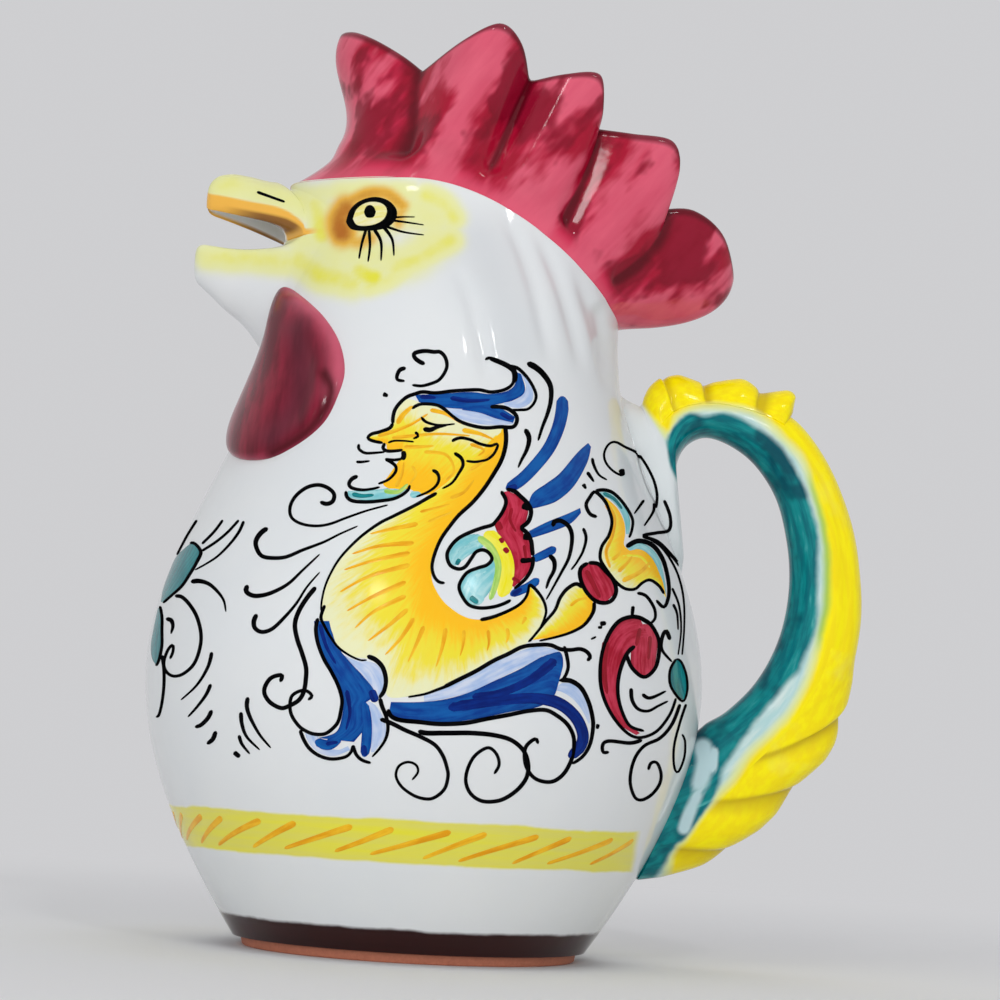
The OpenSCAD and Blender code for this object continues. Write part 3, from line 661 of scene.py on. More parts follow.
# %% The handle
handle_reach, root_low_z, root_low_len, root_high_z, root_high_len = 41, 20, 41, 153, 53
grip_half_w, bump_h, feather_t = 8.5, 7, 5.5
handle_stations = [
    [-0.16, 0.68, -0.49, 0.97, 1.1], [-0.2, 0.767, -0.39, 0.985, 1.1], [-0.235, 0.842, -0.27, 0.995, 1.06],
    [-0.18, 0.891, -0.12, 1, 1], [-0.05, 0.914, 0.075, 0.998, 0.95], [0.12, 0.9, 0.32, 0.985, 0.94],
    [0.29, 0.862, 0.545, 0.958, 0.94], [0.435, 0.797, 0.765, 0.875, 0.97], [0.515, 0.714, 0.93, 0.762, 1],
    [0.545, 0.635, 1.005, 0.655, 1], [0.525, 0.556, 1.022, 0.545, 1.02], [0.46, 0.485, 0.945, 0.42, 1.06],
    [0.34, 0.417, 0.76, 0.305, 1.12], [0.17, 0.361, 0.46, 0.195, 1.2], [0.035, 0.333, 0.12, 0.086, 1.3]]
root_half_share, low_root_half_share = 1.1, 1.4
handle_sides, rows_per_station, root_sink_depth = 96, 16, 0.9
root_rise, root_stations, root_cover = 0.8, 0.9, 1
rib_angle, rib_depth, rib_width, rib_fade = 60, 0.45, 13, 3
cap_shrink, cap_sunk = 0.6, 2


def back_x(y, z):
    """Place along X of the back of the body, where the handle is rooted."""
    return np.interp(z, profile_z, back_half) * np.sqrt(
        np.clip(1 - (y / np.interp(z, profile_z, side_half)) ** 2, 0, 1))


def seat(low, high, half):
    """The station of a root, whose inner and outer edge both lie on the body."""
    return [float(back_x(0, low)), low, float(back_x(0, high)), high, half * grip_half_w]


stations = np.array(
    [seat(root_high_z - root_high_len, root_high_z, root_half_share)]
    + [[belly_r + a * handle_reach, lerp(root_low_z, root_high_z, b), belly_r + c * handle_reach,
        lerp(root_low_z, root_high_z, d), e * grip_half_w] for a, b, c, d, e in handle_stations]
    + [seat(root_low_z + root_low_len, root_low_z, low_root_half_share)])
last_station = len(stations) - 1


def handle_point(t, angle, lift):
    """Point of the handle at station t, at an angle from its outer edge, standing off its oval."""
    in_x, in_z, out_x, out_z, half_y = np.moveaxis(spline(stations, t), -1, 0)
    across_x, across_z = out_x - in_x, out_z - in_z
    long = np.hypot(across_x, across_z)
    y = np.sin(angle) * (half_y + lift)
    off = np.cos(angle) * (long / 2 + lift) / long
    x = (in_x + out_x) / 2 + across_x * off
    z = (in_z + out_z) / 2 + across_z * off
    near_end = np.minimum(t, last_station - t)
    held = back_x(y, z) + root_rise * near_end - root_sink_depth
    x = lerp(held, np.maximum(x, back_x(y, z) - root_cover), smooth(near_end / root_stations))
    return np.stack([x, y, z], -1)


handle_t = np.linspace(0, last_station, last_station * rows_per_station + 1)[:, None]
handle_angle = np.linspace(0, 2 * np.pi, handle_sides + 1)[None]
off_edge = np.degrees(np.abs((handle_angle + np.pi) % (2 * np.pi) - np.pi))
rib = -rib_depth * np.exp(-((off_edge - rib_angle) / rib_width) ** 2)
rib = rib * smooth(handle_t / rib_fade)
tube = handle_point(handle_t + 0 * handle_angle, handle_angle + 0 * handle_t, rib)
hidden = [lerp(tube[k], tube[k].mean(0), cap_shrink) - [cap_sunk, 0, 0] for k in (0, -1)]
points = [np.broadcast_to(h.mean(0), h.shape) for h in hidden]
handle = wrap_grid("handle", np.concatenate([points[:1], hidden[:1], tube, hidden[1:], points[1:]]))
close_form(handle)
report(handle)

# %% [markdown]
# Three bumps for the thumb stand on top of the handle, and the rooster's tail feathers overlap down its
# lower half. Both are ridges that ride on the handle's outer edge, so they are laid on it with the same
# function that made the handle, standing a height off it.

# %% Crest and tail feathers
crest_profile = [
    [1, 0.1], [1.6, 0.5], [2.4, 0.81], [3.2, 0.84], [3.7, 0.64], [4.15, 0.47], [4.6, 0.64], [5.15, 0.93],
    [5.4, 0.8], [5.7, 0.56], [5.95, 0.72], [6.25, 1], [6.5, 0.92], [6.7, 0.6], [6.84, 0.3]]
crest_folds = [2.5, 4.1, 5.68]
feather_profile = [
    [11.5, 0.03], [11.9, 0.2], [12.2, 0.35], [12.4, 0.29], [12.6, 0.58], [12.8, 0.76], [13.05, 0.84],
    [13.3, 0.73], [13.55, 0.62], [13.8, 0.78], [14, 0.95], [14.25, 0.93], [14.5, 0.71], [14.7, 0.51],
    [14.85, 0.53], [15.1, 0.5], [15.4, 0.45], [15.7, 0.29]]
feather_folds = [12.42, 13.6, 14.78]
fold_w, fold_cut, valley_shade_reach, valley_shade_gain = 0.07, 0.7, 9, 7
ridge_dip, ridge_sunk, ridge_start, ridge_end, soft_reach = 0.15, 1.2, 0.35, 0.25, 2


def averaged(field, reach):
    """Averages a field of rows by columns over the rows within reach of each."""
    kernel = np.ones(2 * reach + 1) / (2 * reach + 1)
    padded = np.pad(field, ((reach, reach), (0, 0)), mode="edge")
    return np.apply_along_axis(np.convolve, 0, padded, kernel, "valid")


def ridge(name, profile, folds, height, half_angle, rows, cols, sweep):
    """A ridge on the handle's outer edge, cut by folds. Sweep makes both run aslant, as feathers do."""
    profile = np.array(profile)
    t = np.linspace(profile[0, 0], profile[-1, 0], rows)[:, None]
    a = np.linspace(-half_angle, half_angle, cols)[None]
    slant = t + sweep * (np.abs(a) / half_angle) ** 1.5
    tall = np.interp(slant, profile[:, 0], profile[:, 1], left=profile[0, 1], right=profile[-1, 1])
    tall = averaged(averaged(tall, soft_reach), soft_reach)
    ends = np.sqrt(np.clip(np.minimum((t - t[0]) / ridge_start, (t[-1] - t) / ridge_end), 0, 1))
    off = np.abs(a) / half_angle
    lift = height * tall * ends * ((1 + np.cos(np.pi * off)) / 2) ** 0.75 - ridge_dip * off ** 6
    crease = sum(np.exp(-((slant - fold) / np.where(slant > fold, 3 * fold_w, fold_w)) ** 2)
                 for fold in folds)
    lift = lift - np.minimum(fold_cut * crease * smooth((1 - off) / 0.3), 0.8 * np.maximum(lift, 0))
    t, angle = np.broadcast_arrays(t, np.radians(a))
    piece = slab(name, handle_point(t, angle, lift), handle_point(t, angle, -ridge_sunk + 0 * lift))
    # Painted shade: the held valley is darker where the ridge dips below its neighbours and along its folds.
    painted_valley_shade = np.clip((averaged(tall, valley_shade_reach) - tall) * valley_shade_gain + 0.9 * crease, 0, 1)
    painted_valley_shade = np.concatenate([painted_valley_shade, 0 * painted_valley_shade, painted_valley_shade[:, :1]], 1)
    mark_points(piece, "valley_shade", with_ends(painted_valley_shade))
    return report(close_form(piece))


crest = ridge("handle_crest_glazed", crest_profile, crest_folds, bump_h, 58, 160, 48, -0.35)
feathers = ridge("tail_feathers_glazed", feather_profile, feather_folds, feather_t, 80, 260, 72, -1.5)

# %% [markdown]
# ## The foot
# The foot ring is left bare where the pitcher stood on the kiln shelf. It is a true turned form, so it is
# made as on the wheel: a disc primitive is inset to a ring, extruded to its height, and its edges are
# bevelled as wear rounds them.

# %% The foot ring
foot_bevel, foot_rim_w, foot_lap, worn_w = 1.6, 7, 0.2, 0.5
foot_sides = 192
deselect()
bpy.ops.mesh.primitive_circle_add(vertices=foot_sides, radius=(stand_r - foot_bevel / 2) * MM,
                                  fill_type="NGON", location=(0, 0, 0))
foot = bpy.context.object
foot.name = foot.data.name = "foot_ring_clay"
bpy.ops.object.mode_set(mode="EDIT")
bpy.ops.mesh.select_all(action="SELECT")
bpy.ops.mesh.inset(thickness=(foot_rim_w + foot_bevel / 2) * MM)
bpy.ops.mesh.delete(type="FACE")
bpy.ops.mesh.select_all(action="SELECT")
bpy.ops.mesh.extrude_region_move(TRANSFORM_OT_translate={"value": (0, 0, (foot_h + foot_lap) * MM)})
bpy.ops.object.mode_set(mode="OBJECT")
grow = (stand_r - foot_lap) / (stand_r - foot_bevel / 2)
for corner in foot.data.vertices:
    if corner.co.z > MM and corner.co.xy.length > (stand_r - foot_rim_w / 2) * MM:
        corner.co.xy *= grow
bevel = foot.modifiers.new("worn_edge", "BEVEL")
bevel.width = worn_w * MM
bevel.segments = 4
bpy.ops.object.modifier_apply(modifier="worn_edge")
close_form(foot)
report(foot)

# %% [markdown]
# ## The painter's brush
# The ornament is brushed on the raw glaze, so each stroke stands a hair proud of it, thickest in its middle
# and blunt at its ends. A stroke is drawn as a line through a few places in the picture with a width, and a
# filled shape as the space between two such lines. A ray from the camera through each of their points finds
# the glaze behind it. The strokes of one colour are one grid, from which the faces that would join one
# stroke to the next are deleted.

# %% Landing a stroke on the glaze
def tree_of(*pieces):
    """A tree of the faces of some pieces that rays can be cast at."""
    points, faces = [], []
    for piece in pieces:
        faces += [tuple(len(points) + k for k in face.vertices) for face in piece.data.polygons]
        points += [tuple(v.co) for v in piece.data.vertices]
    return BVHTree.FromPolygons(points, faces)


body_tree, beak_tree, joint_tree = tree_of(body), tree_of(upper_beak), tree_of(body, handle)
middle_px, step_in_px, tries = 430, 2, 14
root_from_px, root_to_px = 640, 562
stripe_low, stripe_high = 24.8, 35.2
stripe_r = float(body_radius((stripe_low + stripe_high) / 2))


def land(px, tree=body_tree):
    """Places in mm on the near side behind an array of pixels, and the directions off the glaze. A ray
    that misses is tried again nearer to the middle. By the handle's upper root strokes run on over it."""
    flat = px.reshape(-1, 2)
    spots, ways = np.zeros((2, len(flat), 3))
    for k, (u, v) in enumerate(flat):
        under = joint_tree if tree is body_tree and u > root_from_px and v < root_to_px else tree
        for step in range(tries):
            ray = ray_through(u + math.copysign(step_in_px * step, middle_px - u), v)
            hit, way, _, _ = under.ray_cast(cam_at, ray)
            if hit:
                break
        spots[k], ways[k] = hit / MM, way if way.dot(ray) < 0 else -way
    return spots.reshape(*px.shape[:-1], 3), ways.reshape(*px.shape[:-1], 3)


def land_on_beak(px):
    return land(px, beak_tree)


def land_round(flat):
    """Places on the belly from distances round it and heights, both in mm, and the directions off it."""
    round_mm, z = flat[..., 0], flat[..., 1]
    angle = round_mm / stripe_r
    spots = skin(angle, z)
    ways = np.cross(skin(angle + 0.01, z) - spots, skin(angle, z + 0.1) - spots)
    return spots, ways / np.linalg.norm(ways, axis=-1, keepdims=True)


print("stripe radius", round(stripe_r, 2), "mm")

# %% Strokes and filled shapes
row_step, tip_places = 2.0, np.array([0.02, 0.12, 0.4])
line_cols, fill_cols, beast_cols = 5, 15, 29
mark_edge, mark_sunk, mark_gap = 0.55, 0.06, 7


def even(line, places=None, step=row_step):
    """A smooth curve through points with stations at even distances, and its length."""
    line = np.reshape(line, (-1, 2))
    dense = spline(line, np.linspace(0, len(line) - 1, 20 * (len(line) - 1) + 1))
    run = np.concatenate([[0], np.cumsum(np.linalg.norm(np.diff(dense, axis=0), axis=1))])
    if places is None:
        places = np.linspace(0, 1, max(8, int(run[-1] / step)))
    return np.stack([np.interp(places * run[-1], run, dense[:, k]) for k in (0, 1)], -1), run[-1]


def stroke(line, width, end, cols=line_cols, step=row_step):
    """A stroke along a line. Its width shrinks to a share at its end, and both tips are round."""
    _, length = even(line)
    tip = min(width / length, 0.3)
    inside = np.linspace(tip, 1 - tip, max(6, int(length / step)))
    places = np.concatenate([tip * tip_places, inside, 1 - tip * tip_places[::-1]])
    middle, _ = even(line, places)
    way = np.gradient(middle, axis=0)
    way /= np.maximum(np.linalg.norm(way, axis=1, keepdims=True), 1e-9)
    blunt = np.sqrt(np.clip(np.minimum(places, 1 - places) / tip * 2, 0, 1))
    half = (width / 2 * lerp(1, end, places) * blunt)[:, None, None]
    across = np.linspace(-1, 1, cols)[None, :, None]
    return middle[:, None] + half * across * np.stack([-way[:, 1], way[:, 0]], -1)[:, None]


def broad(line, width, end):
    """A stroke with as many columns as a filled shape, so that the two can be laid together."""
    return stroke(line, width, end, fill_cols)


def filled(edge_a, edge_b, cols=fill_cols):
    """A shape between two edges that run the same way."""
    length = max(even(edge_a)[1], even(edge_b)[1])
    places = np.linspace(0, 1, max(10, int(length / row_step)))
    a, b = even(edge_a, places)[0], even(edge_b, places)[0]
    return lerp(a[:, None], b[:, None], np.linspace(0, 1, cols)[None, :, None])


def drop_faces(piece, chosen):
    """Deletes the faces of a piece that an array of yes and no picks."""
    pick_faces(piece, chosen)
    bpy.ops.mesh.delete(type="ONLY_FACE")
    bpy.ops.object.mode_set(mode="OBJECT")


def lay(name, marks, height, lander=land):
    """Lays marks of one colour, all with as many columns, as closed slabs a height in mm off the glaze."""
    rings, marks_uv, marks_rim, marks_tone, last_rows = [], [], [], [], []
    cols = marks[0].shape[1]
    across = np.linspace(-1, 1, cols)
    under = [cols - 1, cols // 2, 0]
    order = list(range(cols)) + under + [0]
    for number, px in enumerate(marks):
        spots, ways = lander(px)
        round_top = mark_edge + (1 - mark_edge) * np.sqrt(1 - across ** 2)
        top = spots + ways * (height * round_top)[None, :, None]
        bottom = (spots - ways * mark_sunk)[:, under]
        ring = np.concatenate([top, bottom, top[:, :1]], 1)
        cap = [np.broadcast_to(bottom[k].mean(0), ring[:1].shape) for k in (0, -1)]
        ring = np.concatenate([cap[0], ring, cap[1]])
        along = np.linalg.norm(np.diff(spots[:, cols // 2], axis=0), axis=1)
        along = np.concatenate([[0, 0], np.cumsum(along), [along.sum()]])
        wide = with_ends(np.linalg.norm(spots[:, -1] - spots[:, 0], axis=1))
        off_middle = wide[:, None] * across[None, order] / 2 + mark_gap * number
        rings.append(ring)
        marks_uv.append(np.stack([off_middle, along[:, None] + 0 * ring[..., 0]], -1))
        marks_rim.append(np.broadcast_to(np.abs(across[order]), ring.shape[:2]))
        marks_tone.append(np.broadcast_to(across[order] / 2 + 0.5, ring.shape[:2]))
        last_rows.append(len(ring) + (last_rows[-1] if last_rows else 0))
    piece = wrap_grid(name, np.concatenate(rings))
    corner = lay_uv(piece, np.concatenate(marks_uv))
    for label, values in (("rim", marks_rim), ("tone", marks_tone)):
        mark_points(piece, label, np.concatenate(values))
    row_of = corner.reshape(-1, 4).min(1) // len(order)
    drop_faces(piece, np.isin(row_of, np.array(last_rows[:-1]) - 1))
    return report(close_form(piece, fine_crease))


print("marks are sunk", mark_sunk, "mm into the glaze")

# %% [markdown]
# ## The ornament
# The figure is of the old grotesque kind that majolica painters have drawn since the Renaissance: a winged
# beast with a plumed and bearded head, a curled tail and legs of leaves, set among scrolls. Every line is
# listed by its places in the picture, first the black ones, with the brush's width and how far it thins
# out, and then the colours, hue by hue, with the palest of each hue first.

# %% Black lines of the beast
beast_lines = [
    (3, 0.8, [393,424, 393,418, 395,410, 400,403, 407,397, 415,394, 423,392, 436,393, 453,391, 470,390,
        480,390, 490,392, 500,391, 508,388, 513,383, 514,376, 512,370, 506,365, 497,360, 489,358,
        485,360]),
    (4.5, 0.8, [514,383, 515,376, 513,370, 506,365, 497,361, 489,358]),
    (2.8, 0.7, [508,366, 517,368, 525,375, 532,385, 536,395, 534,403, 528,409, 520,410, 511,410]),
    (3.2, 0.8, [490,407, 500,407, 508,409, 515,414, 517,420, 513,427, 500,427, 486,428, 473,426, 461,422,
        452,416, 444,409, 436,405, 423,404, 416,406, 412,409]),
    (3, 0.8, [393,423, 390,428, 380,432, 372,434, 368,438, 373,441, 383,443]),
    (2.8, 0.8, [385,443, 383,448, 387,451, 395,451, 403,450]), (4, 1, [403,451, 404,456, 402,460]),
    (2.4, 0.8, [402,459, 394,460, 385,459]),
    (3, 0.6, [385,459, 391,462, 396,467, 395,473, 388,480, 378,484]),
    (1.8, 0.8, [388,443, 394,441, 404,441, 414,442]), (3, 0.6, [415,432, 418,436, 413,439]),
    (2.6, 0.5, [421,417, 426,422, 436,425, 446,425, 455,424]),
    (4.6, 0.4, [423,429, 430,430, 438,427, 448,425]),
    (2.6, 0.6, [359,444, 359,449, 365,453, 374,453, 385,452]), (2.4, 0.6, [356,462, 362,462, 370,461]),
    (3.4, 0.5, [358,476, 352,479, 349,484, 352,488, 362,490, 372,489, 380,487]),
    (3, 0.8, [346,491, 347,497, 353,501, 366,502, 380,501, 393,499, 402,495, 408,490, 410,485]),
    (3, 0.5, [432,470, 437,473, 439,479, 436,486, 428,492, 416,497]),
    (3.2, 0.5, [454,453, 461,458, 463,465, 459,473, 452,483, 442,489]),
    (2.6, 0.8, [452,442, 454,440, 461,438, 471,440, 480,444, 490,446, 497,444, 497,448, 493,455, 486,460,
        475,462, 466,461]),
    (3.6, 0.7, [505,426, 506,437, 505,448, 501,461, 493,475, 483,490, 472,503, 459,515, 450,526, 441,539,
        435,553, 432,566, 434,576, 439,582, 445,583]),
    (3, 0.5, [437,493, 428,498, 414,506, 394,516, 380,523, 363,535, 349,548, 338,561, 330,575, 325,587,
        322,600, 321,611]),
    (2.8, 0.5, [325,605, 321,617, 324,625, 330,636, 338,647, 349,655, 360,660, 367,660]),
    (3, 0.9, [501,491, 506,501, 503,511, 497,520, 492,525, 482,528, 471,532, 459,538, 451,546, 447,555,
        450,565, 458,569, 465,567, 471,559, 476,552, 483,550, 489,553, 492,559, 487,565, 478,568, 468,572,
        462,579, 459,587, 462,596, 469,605, 480,608, 493,607, 503,604, 511,600]),
    (3, 0.7, [480,620, 493,617, 508,611, 520,604, 527,595, 529,584]),
    (2.8, 0.5, [529,584, 536,590, 543,600, 546,611, 543,622, 538,631, 528,642]),
    (3.4, 1, [506,489, 514,491, 521,497, 528,504, 531,512, 528,522, 520,528]),
    (3.4, 1, [520,528, 527,533, 531,541, 532,549, 533,556]),
    (3.4, 0.7, [533,556, 532,567, 527,577, 520,584, 514,589]), (6, 0.7, [522,505, 530,509]),
    (6, 0.7, [523,536, 530,538]), (4.5, 0.8, [520,561, 532,560])]
tail_lines = [
    (2.8, 0.8, [597,517, 590,514, 586,505, 590,497, 595,492, 604,500, 609,510, 612,522, 609,535, 602,546,
        600,556, 602,563, 611,576, 618,584, 626,589, 635,589, 642,583, 650,580, 659,586, 664,594]),
    (2.8, 0.7, [595,491, 604,490, 613,493, 623,503, 632,518, 632,529, 629,538]),
    (4, 0.6, [626,547, 638,541, 652,545, 662,558, 667,574, 669,590, 667,602, 663,607, 656,600]),
    (3.2, 1, [588,563, 598,564, 606,572, 613,580, 616,591, 612,600, 604,603, 594,600, 585,590, 580,577,
        581,568, 588,563]),
    (3.2, 0.6, [583,588, 576,584, 567,589, 560,598, 555,610, 546,621, 538,631, 529,642]),
    (3.2, 0.5, [594,602, 593,612, 585,624, 574,631, 560,636, 539,641]),
    (2.3, 0.7, [656,508, 657,494, 652,476, 639,455, 625,447, 615,442, 608,445, 604,454, 606,463, 613,471,
        622,476]),
    (5, 0.7, [621,469, 623,476])]
leg_lines = [
    (3.2, 0.8, [318,618, 316,629, 318,643, 324,659, 331,671, 338,685, 342,699, 341,710, 338,722, 331,730,
        324,734, 314,734, 306,731, 299,726, 292,716, 290,706, 292,696, 300,691, 307,691, 312,696,
        308,700]),
    (3, 0.8, [300,730, 304,740, 310,749, 320,756, 332,759, 345,757, 351,752, 353,745]),
    (3, 0.8, [353,745, 356,754, 362,760, 371,763]),
    (4, 0.8, [367,656, 376,660, 383,668, 386,680, 384,691, 379,698]),
    (3.6, 0.5, [380,698, 382,706, 386,716, 388,727, 386,738, 380,748, 372,757]),
    (3.4, 0.9, [444,687, 458,680, 476,671, 493,661, 508,654, 522,647, 536,645, 550,645, 560,649, 570,650,
        580,649, 587,652, 590,657, 587,661]),
    (1.6, 1.6, [408,697, 425,694, 439,689, 447,686]),
    (3, 0.8, [564,646, 567,657, 568,668, 564,678, 559,681]),
    (4, 0.6, [560,680, 571,681, 581,688, 588,701, 592,715, 593,727, 590,744, 583,756, 572,764]),
    (3.6, 0.8, [388,709, 391,716, 400,720, 419,722, 440,724, 465,723, 486,719, 508,715, 528,711, 545,710,
        556,715, 567,724, 573,735, 574,746, 572,758, 565,772, 556,780, 547,782, 536,779, 529,772, 525,762,
        525,749, 530,742, 536,739, 538,744])]
print(len(beast_lines) + len(tail_lines) + len(leg_lines), "lines draw the beast")

# %% Scrolls round the beast
scroll_lines = [
    (3.6, 0.6, [425,364, 420,362, 415,358, 414,354, 418,352, 426,351, 434,352, 440,352, 445,357, 447,365,
        445,372, 439,380, 430,384, 421,386, 412,385]),
    (3.6, 0.6, [406,368, 400,370, 397,376, 398,380, 405,381]), (4, 0.6, [383,394, 388,396]),
    (5, 0.4, [527,363, 535,367, 543,374, 550,385, 551,398, 548,412, 542,428, 538,441]),
    (4.4, 0.4, [525,429, 529,438, 527,449, 521,461, 518,468]),
    (4, 0.35, [553,527, 554,522, 561,521, 569,527, 572,538, 569,557, 561,573, 555,584, 546,600]),
    (2.6, 0.6, [583,528, 586,538, 583,551, 577,562, 571,570]),
    (4, 0.5, [549,555, 554,561, 554,570, 549,580, 546,589]),
    (2.6, 0.5, [592,458, 594,466, 599,475, 607,480]), (3.2, 0.5, [587,472, 594,482]),
    (3.4, 0.5, [583,484, 586,489]),
    (3.4, 0.4, [320,502, 327,504, 333,501, 334,494, 328,488, 318,485, 306,488, 295,497, 290,508, 292,518,
        302,524, 316,526, 330,524, 346,518, 366,511, 388,505]),
    (4, 0.3, [268,528, 261,533, 256,541, 257,549, 262,556, 272,558, 286,557, 303,550, 324,542, 340,534,
        358,526]),
    (4, 0.3, [248,585, 246,590, 249,594, 257,596, 271,593, 288,584, 303,570, 320,554]),
    (3.8, 0.3, [257,614, 254,621, 255,628, 262,632, 272,629, 283,619, 296,604, 307,587, 320,572]),
    (3.6, 0.9, [316,587, 307,598, 299,611, 295,624, 297,638, 302,653, 306,667, 306,678, 304,691, 299,700,
        289,706, 281,708, 271,703, 265,695, 265,687, 271,678, 281,675, 282,678, 280,682]),
    (3.6, 0.5, [380,719, 391,723, 405,730, 421,737, 435,745, 443,756, 447,768, 448,776, 445,788, 437,796,
        428,799, 415,796, 402,787, 396,776, 399,766, 408,762, 416,765, 418,772, 412,780]),
    (4, 0.6, [418,731, 426,733, 443,733, 452,733, 471,733, 493,735, 511,740, 523,750, 528,763, 527,776,
        520,787, 509,796, 497,801, 482,801, 471,794, 466,783, 467,771, 473,758, 482,750, 490,748, 497,755,
        499,765, 494,774])]
front_lines = [
    (2.8, 0.7, [190,543, 195,544, 201,552, 197,562, 190,574, 182,586, 171,596, 163,603]),
    (2, 0.8, [197,520, 187,536, 177,555]), (2, 1, [223,520, 214,532, 202,544]),
    (2, 1, [239,520, 228,532, 216,542, 202,551]),
    (2.4, 0.5, [244,521, 239,532, 230,544, 218,556, 206,564, 195,570]),
    (4, 0.3, [191,582, 199,581, 209,584, 218,592, 224,601, 226,612]),
    (3, 0.7, [175,596, 182,597, 190,605, 197,617, 201,633, 200,648, 194,664, 183,674, 173,676, 166,671,
        164,662, 168,650, 173,645, 173,652, 170,659]),
    (4, 0.4, [166,619, 171,620, 173,626, 171,634]),
    (2.4, 0.9, [160,606, 162,617, 162,631, 162,646, 159,660, 156,666]),
    (2.6, 0.8, [162,655, 164,669, 164,686, 162,703, 159,715, 156,717]),
    (3, 0.4, [212,652, 208,667, 197,685, 181,700]), (3, 0.5, [211,684, 206,695, 197,707, 188,717]),
    (3.4, 0.9, [212,710, 208,718, 201,725, 195,727]), (3.6, 0.9, [216,731, 213,739, 207,744]),
    (3.6, 0.4, [248,697, 247,707, 251,719, 260,735, 271,748]),
    (3.4, 0.4, [241,712, 242,724, 247,737, 260,750]), (3, 0.5, [239,735, 242,744, 250,754]),
    (3.8, 0.9, [234,752, 240,757])]
back_lines = [
    (3.4, 0.7, [635,646, 628,652, 622,664, 618,680, 618,696, 622,712, 630,726, 644,731]),
    (3.4, 0.6, [650,624, 640,618, 630,617, 618,622, 608,636, 602,654, 600,674, 602,692, 609,710, 620,726,
        632,736, 644,737, 658,730, 670,714, 676,698]),
    (3, 1, [640,618, 650,624, 658,638, 659,652, 655,668, 644,677, 632,668, 626,654]),
    (3, 0.8, [633,606, 632,616]), (2.6, 0.8, [637,593, 646,596, 654,608, 655,618, 650,624]),
    (3.4, 0.5, [670,640, 666,631, 662,638, 662,650, 672,662]),
    (3.2, 0.5, [631,688, 632,700, 638,709, 648,711, 658,706, 668,701]),
    (3.2, 0.5, [642,694, 650,698, 666,691]),
    (2.6, 0.9, [680,704, 672,724, 660,738, 644,746, 634,760, 630,780, 634,796, 641,800, 651,795, 659,785,
        661,774, 657,763, 651,763, 648,770]),
    (3, 0.9, [642,740, 630,743, 610,741, 603,744, 603,752, 609,752]),
    (2, 0.8, [686,704, 680,722, 674,746, 674,766, 678,772, 684,758, 685,742, 682,734]),
    (2.4, 0.6, [654,503, 653,512, 644,526]), (2.5, 0.5, [644,500, 634,514]),
    (2.6, 1, [664,500, 670,516, 669,530, 656,533, 643,536, 658,542, 672,556, 680,566]),
    (1.8, 0.7, [648,538, 662,548, 674,566, 681,585, 684,605, 684,630, 682,655]),
    (1.8, 0.6, [672,588, 679,606, 681,630, 678,655]), (2.2, 0.5, [673,604, 677,614, 678,630]),
    (4, 0.8, [600,624, 606,623]), (3.6, 0.8, [600,626, 600,629]), (4.6, 0.9, [593,637, 594,639]),
    (3, 0.8, [598,724, 597,729]),
    (2, 1, [676,659, 670,670, 670,684, 676,695, 683,701, 687,690, 686,675, 681,662, 676,659])]
print(len(scroll_lines) + len(front_lines) + len(back_lines), "lines draw the scrolls")

# %% The eye
lash_lines = [
    (2.4, 0.4, [389,218, 402,217, 415,217]), (2.6, 0.4, [389,220, 404,222, 424,225]),
    (2.8, 0.4, [385,226, 403,232, 424,235]), (3, 0.6, [366,230, 362,243, 359,259]),
    (3.4, 0.5, [369,230, 370,246, 368,262]), (4, 0.4, [374,229, 381,242, 381,261]),
    (4, 0.4, [382,225, 392,239, 394,256])]
lid_edge = [346,222, 350,210, 360,201, 375,197, 389,201, 397,211, 394,222, 383,229, 364,231, 351,229,
    346,222]
iris_edge = [353,219, 357,209, 366,203, 376,202, 384,205, 387,211, 384,219, 376,224, 366,226, 357,225,
    353,219]
pupil_edges = ([364,212, 366,207, 370,205, 374,207, 376,212], [364,212, 366,217, 370,218, 374,217, 376,212])
nostril_lines = [(3, 0.8, [257,192, 271,197, 285,202])]
line_height, brush_load = 0.14, 1.3


def brushed(lines, load=1.0):
    """Strokes of a list of widths, shares at the end and lines."""
    return [stroke(line, width * load, end) for width, end, line in lines]


eye_marks = [filled(lid_edge, iris_edge, line_cols), filled(*pupil_edges, line_cols)] + brushed(lash_lines)
black_near = lay("lines_right", brushed(beast_lines + tail_lines + leg_lines + scroll_lines + front_lines
                                        + back_lines, brush_load) + eye_marks, line_height)
beak_black = lay("beak_lines_right", brushed(nostril_lines), line_height, land_on_beak)

# %% [markdown]
# The colours go under the black lines. A wash is the thinnest, a fill is thicker, and a second tone lies
# over a fill, so that no two of them share a face. The body of the beast runs from pale cream at its breast
# to orange at its back, which the finish takes from the share across the shape.

# %% Yellow and orange
wash_height, fill_height, tone_height = 0.05, 0.075, 0.1
beast_body = filled(
    [437,493, 414,506, 394,517, 364,535, 340,559, 325,587, 322,612, 330,636, 349,655, 374,661, 386,680,
     389,697, 420,694, 452,684, 484,667, 520,648, 537,632, 545,617, 545,603, 530,586],
    [505,428, 506,448, 499,465, 487,485, 468,507, 450,526, 438,546, 432,566, 432,580, 437,592, 444,602,
     452,609, 461,615, 472,619, 485,619, 499,614, 510,610, 519,604, 526,597, 529,586], beast_cols)
beast_head = filled(
    [369,437, 380,432, 391,427, 394,417, 397,408, 404,400, 413,400, 425,405, 440,408, 456,419, 480,427,
     505,428],
    [369,439, 378,442, 386,444, 388,450, 402,452, 400,464, 394,474, 383,484, 396,491, 409,489, 421,495,
     437,493], beast_cols)
drop = filled(
    [583,587, 575,585, 567,589, 560,598, 555,610, 546,621, 533,639],
    [588,593, 593,603, 593,612, 585,624, 574,631, 560,636, 533,640], beast_cols)
forked_tail = filled(
    [600,497, 609,511, 611,523, 608,535, 602,547, 601,560, 611,576, 622,587, 633,589, 642,583, 651,580,
     660,588, 665,597],
    [606,498, 617,508, 624,522, 625,534, 624,545, 630,550, 637,549, 644,551, 650,556, 655,563, 659,572,
     663,582, 666,597], beast_cols)
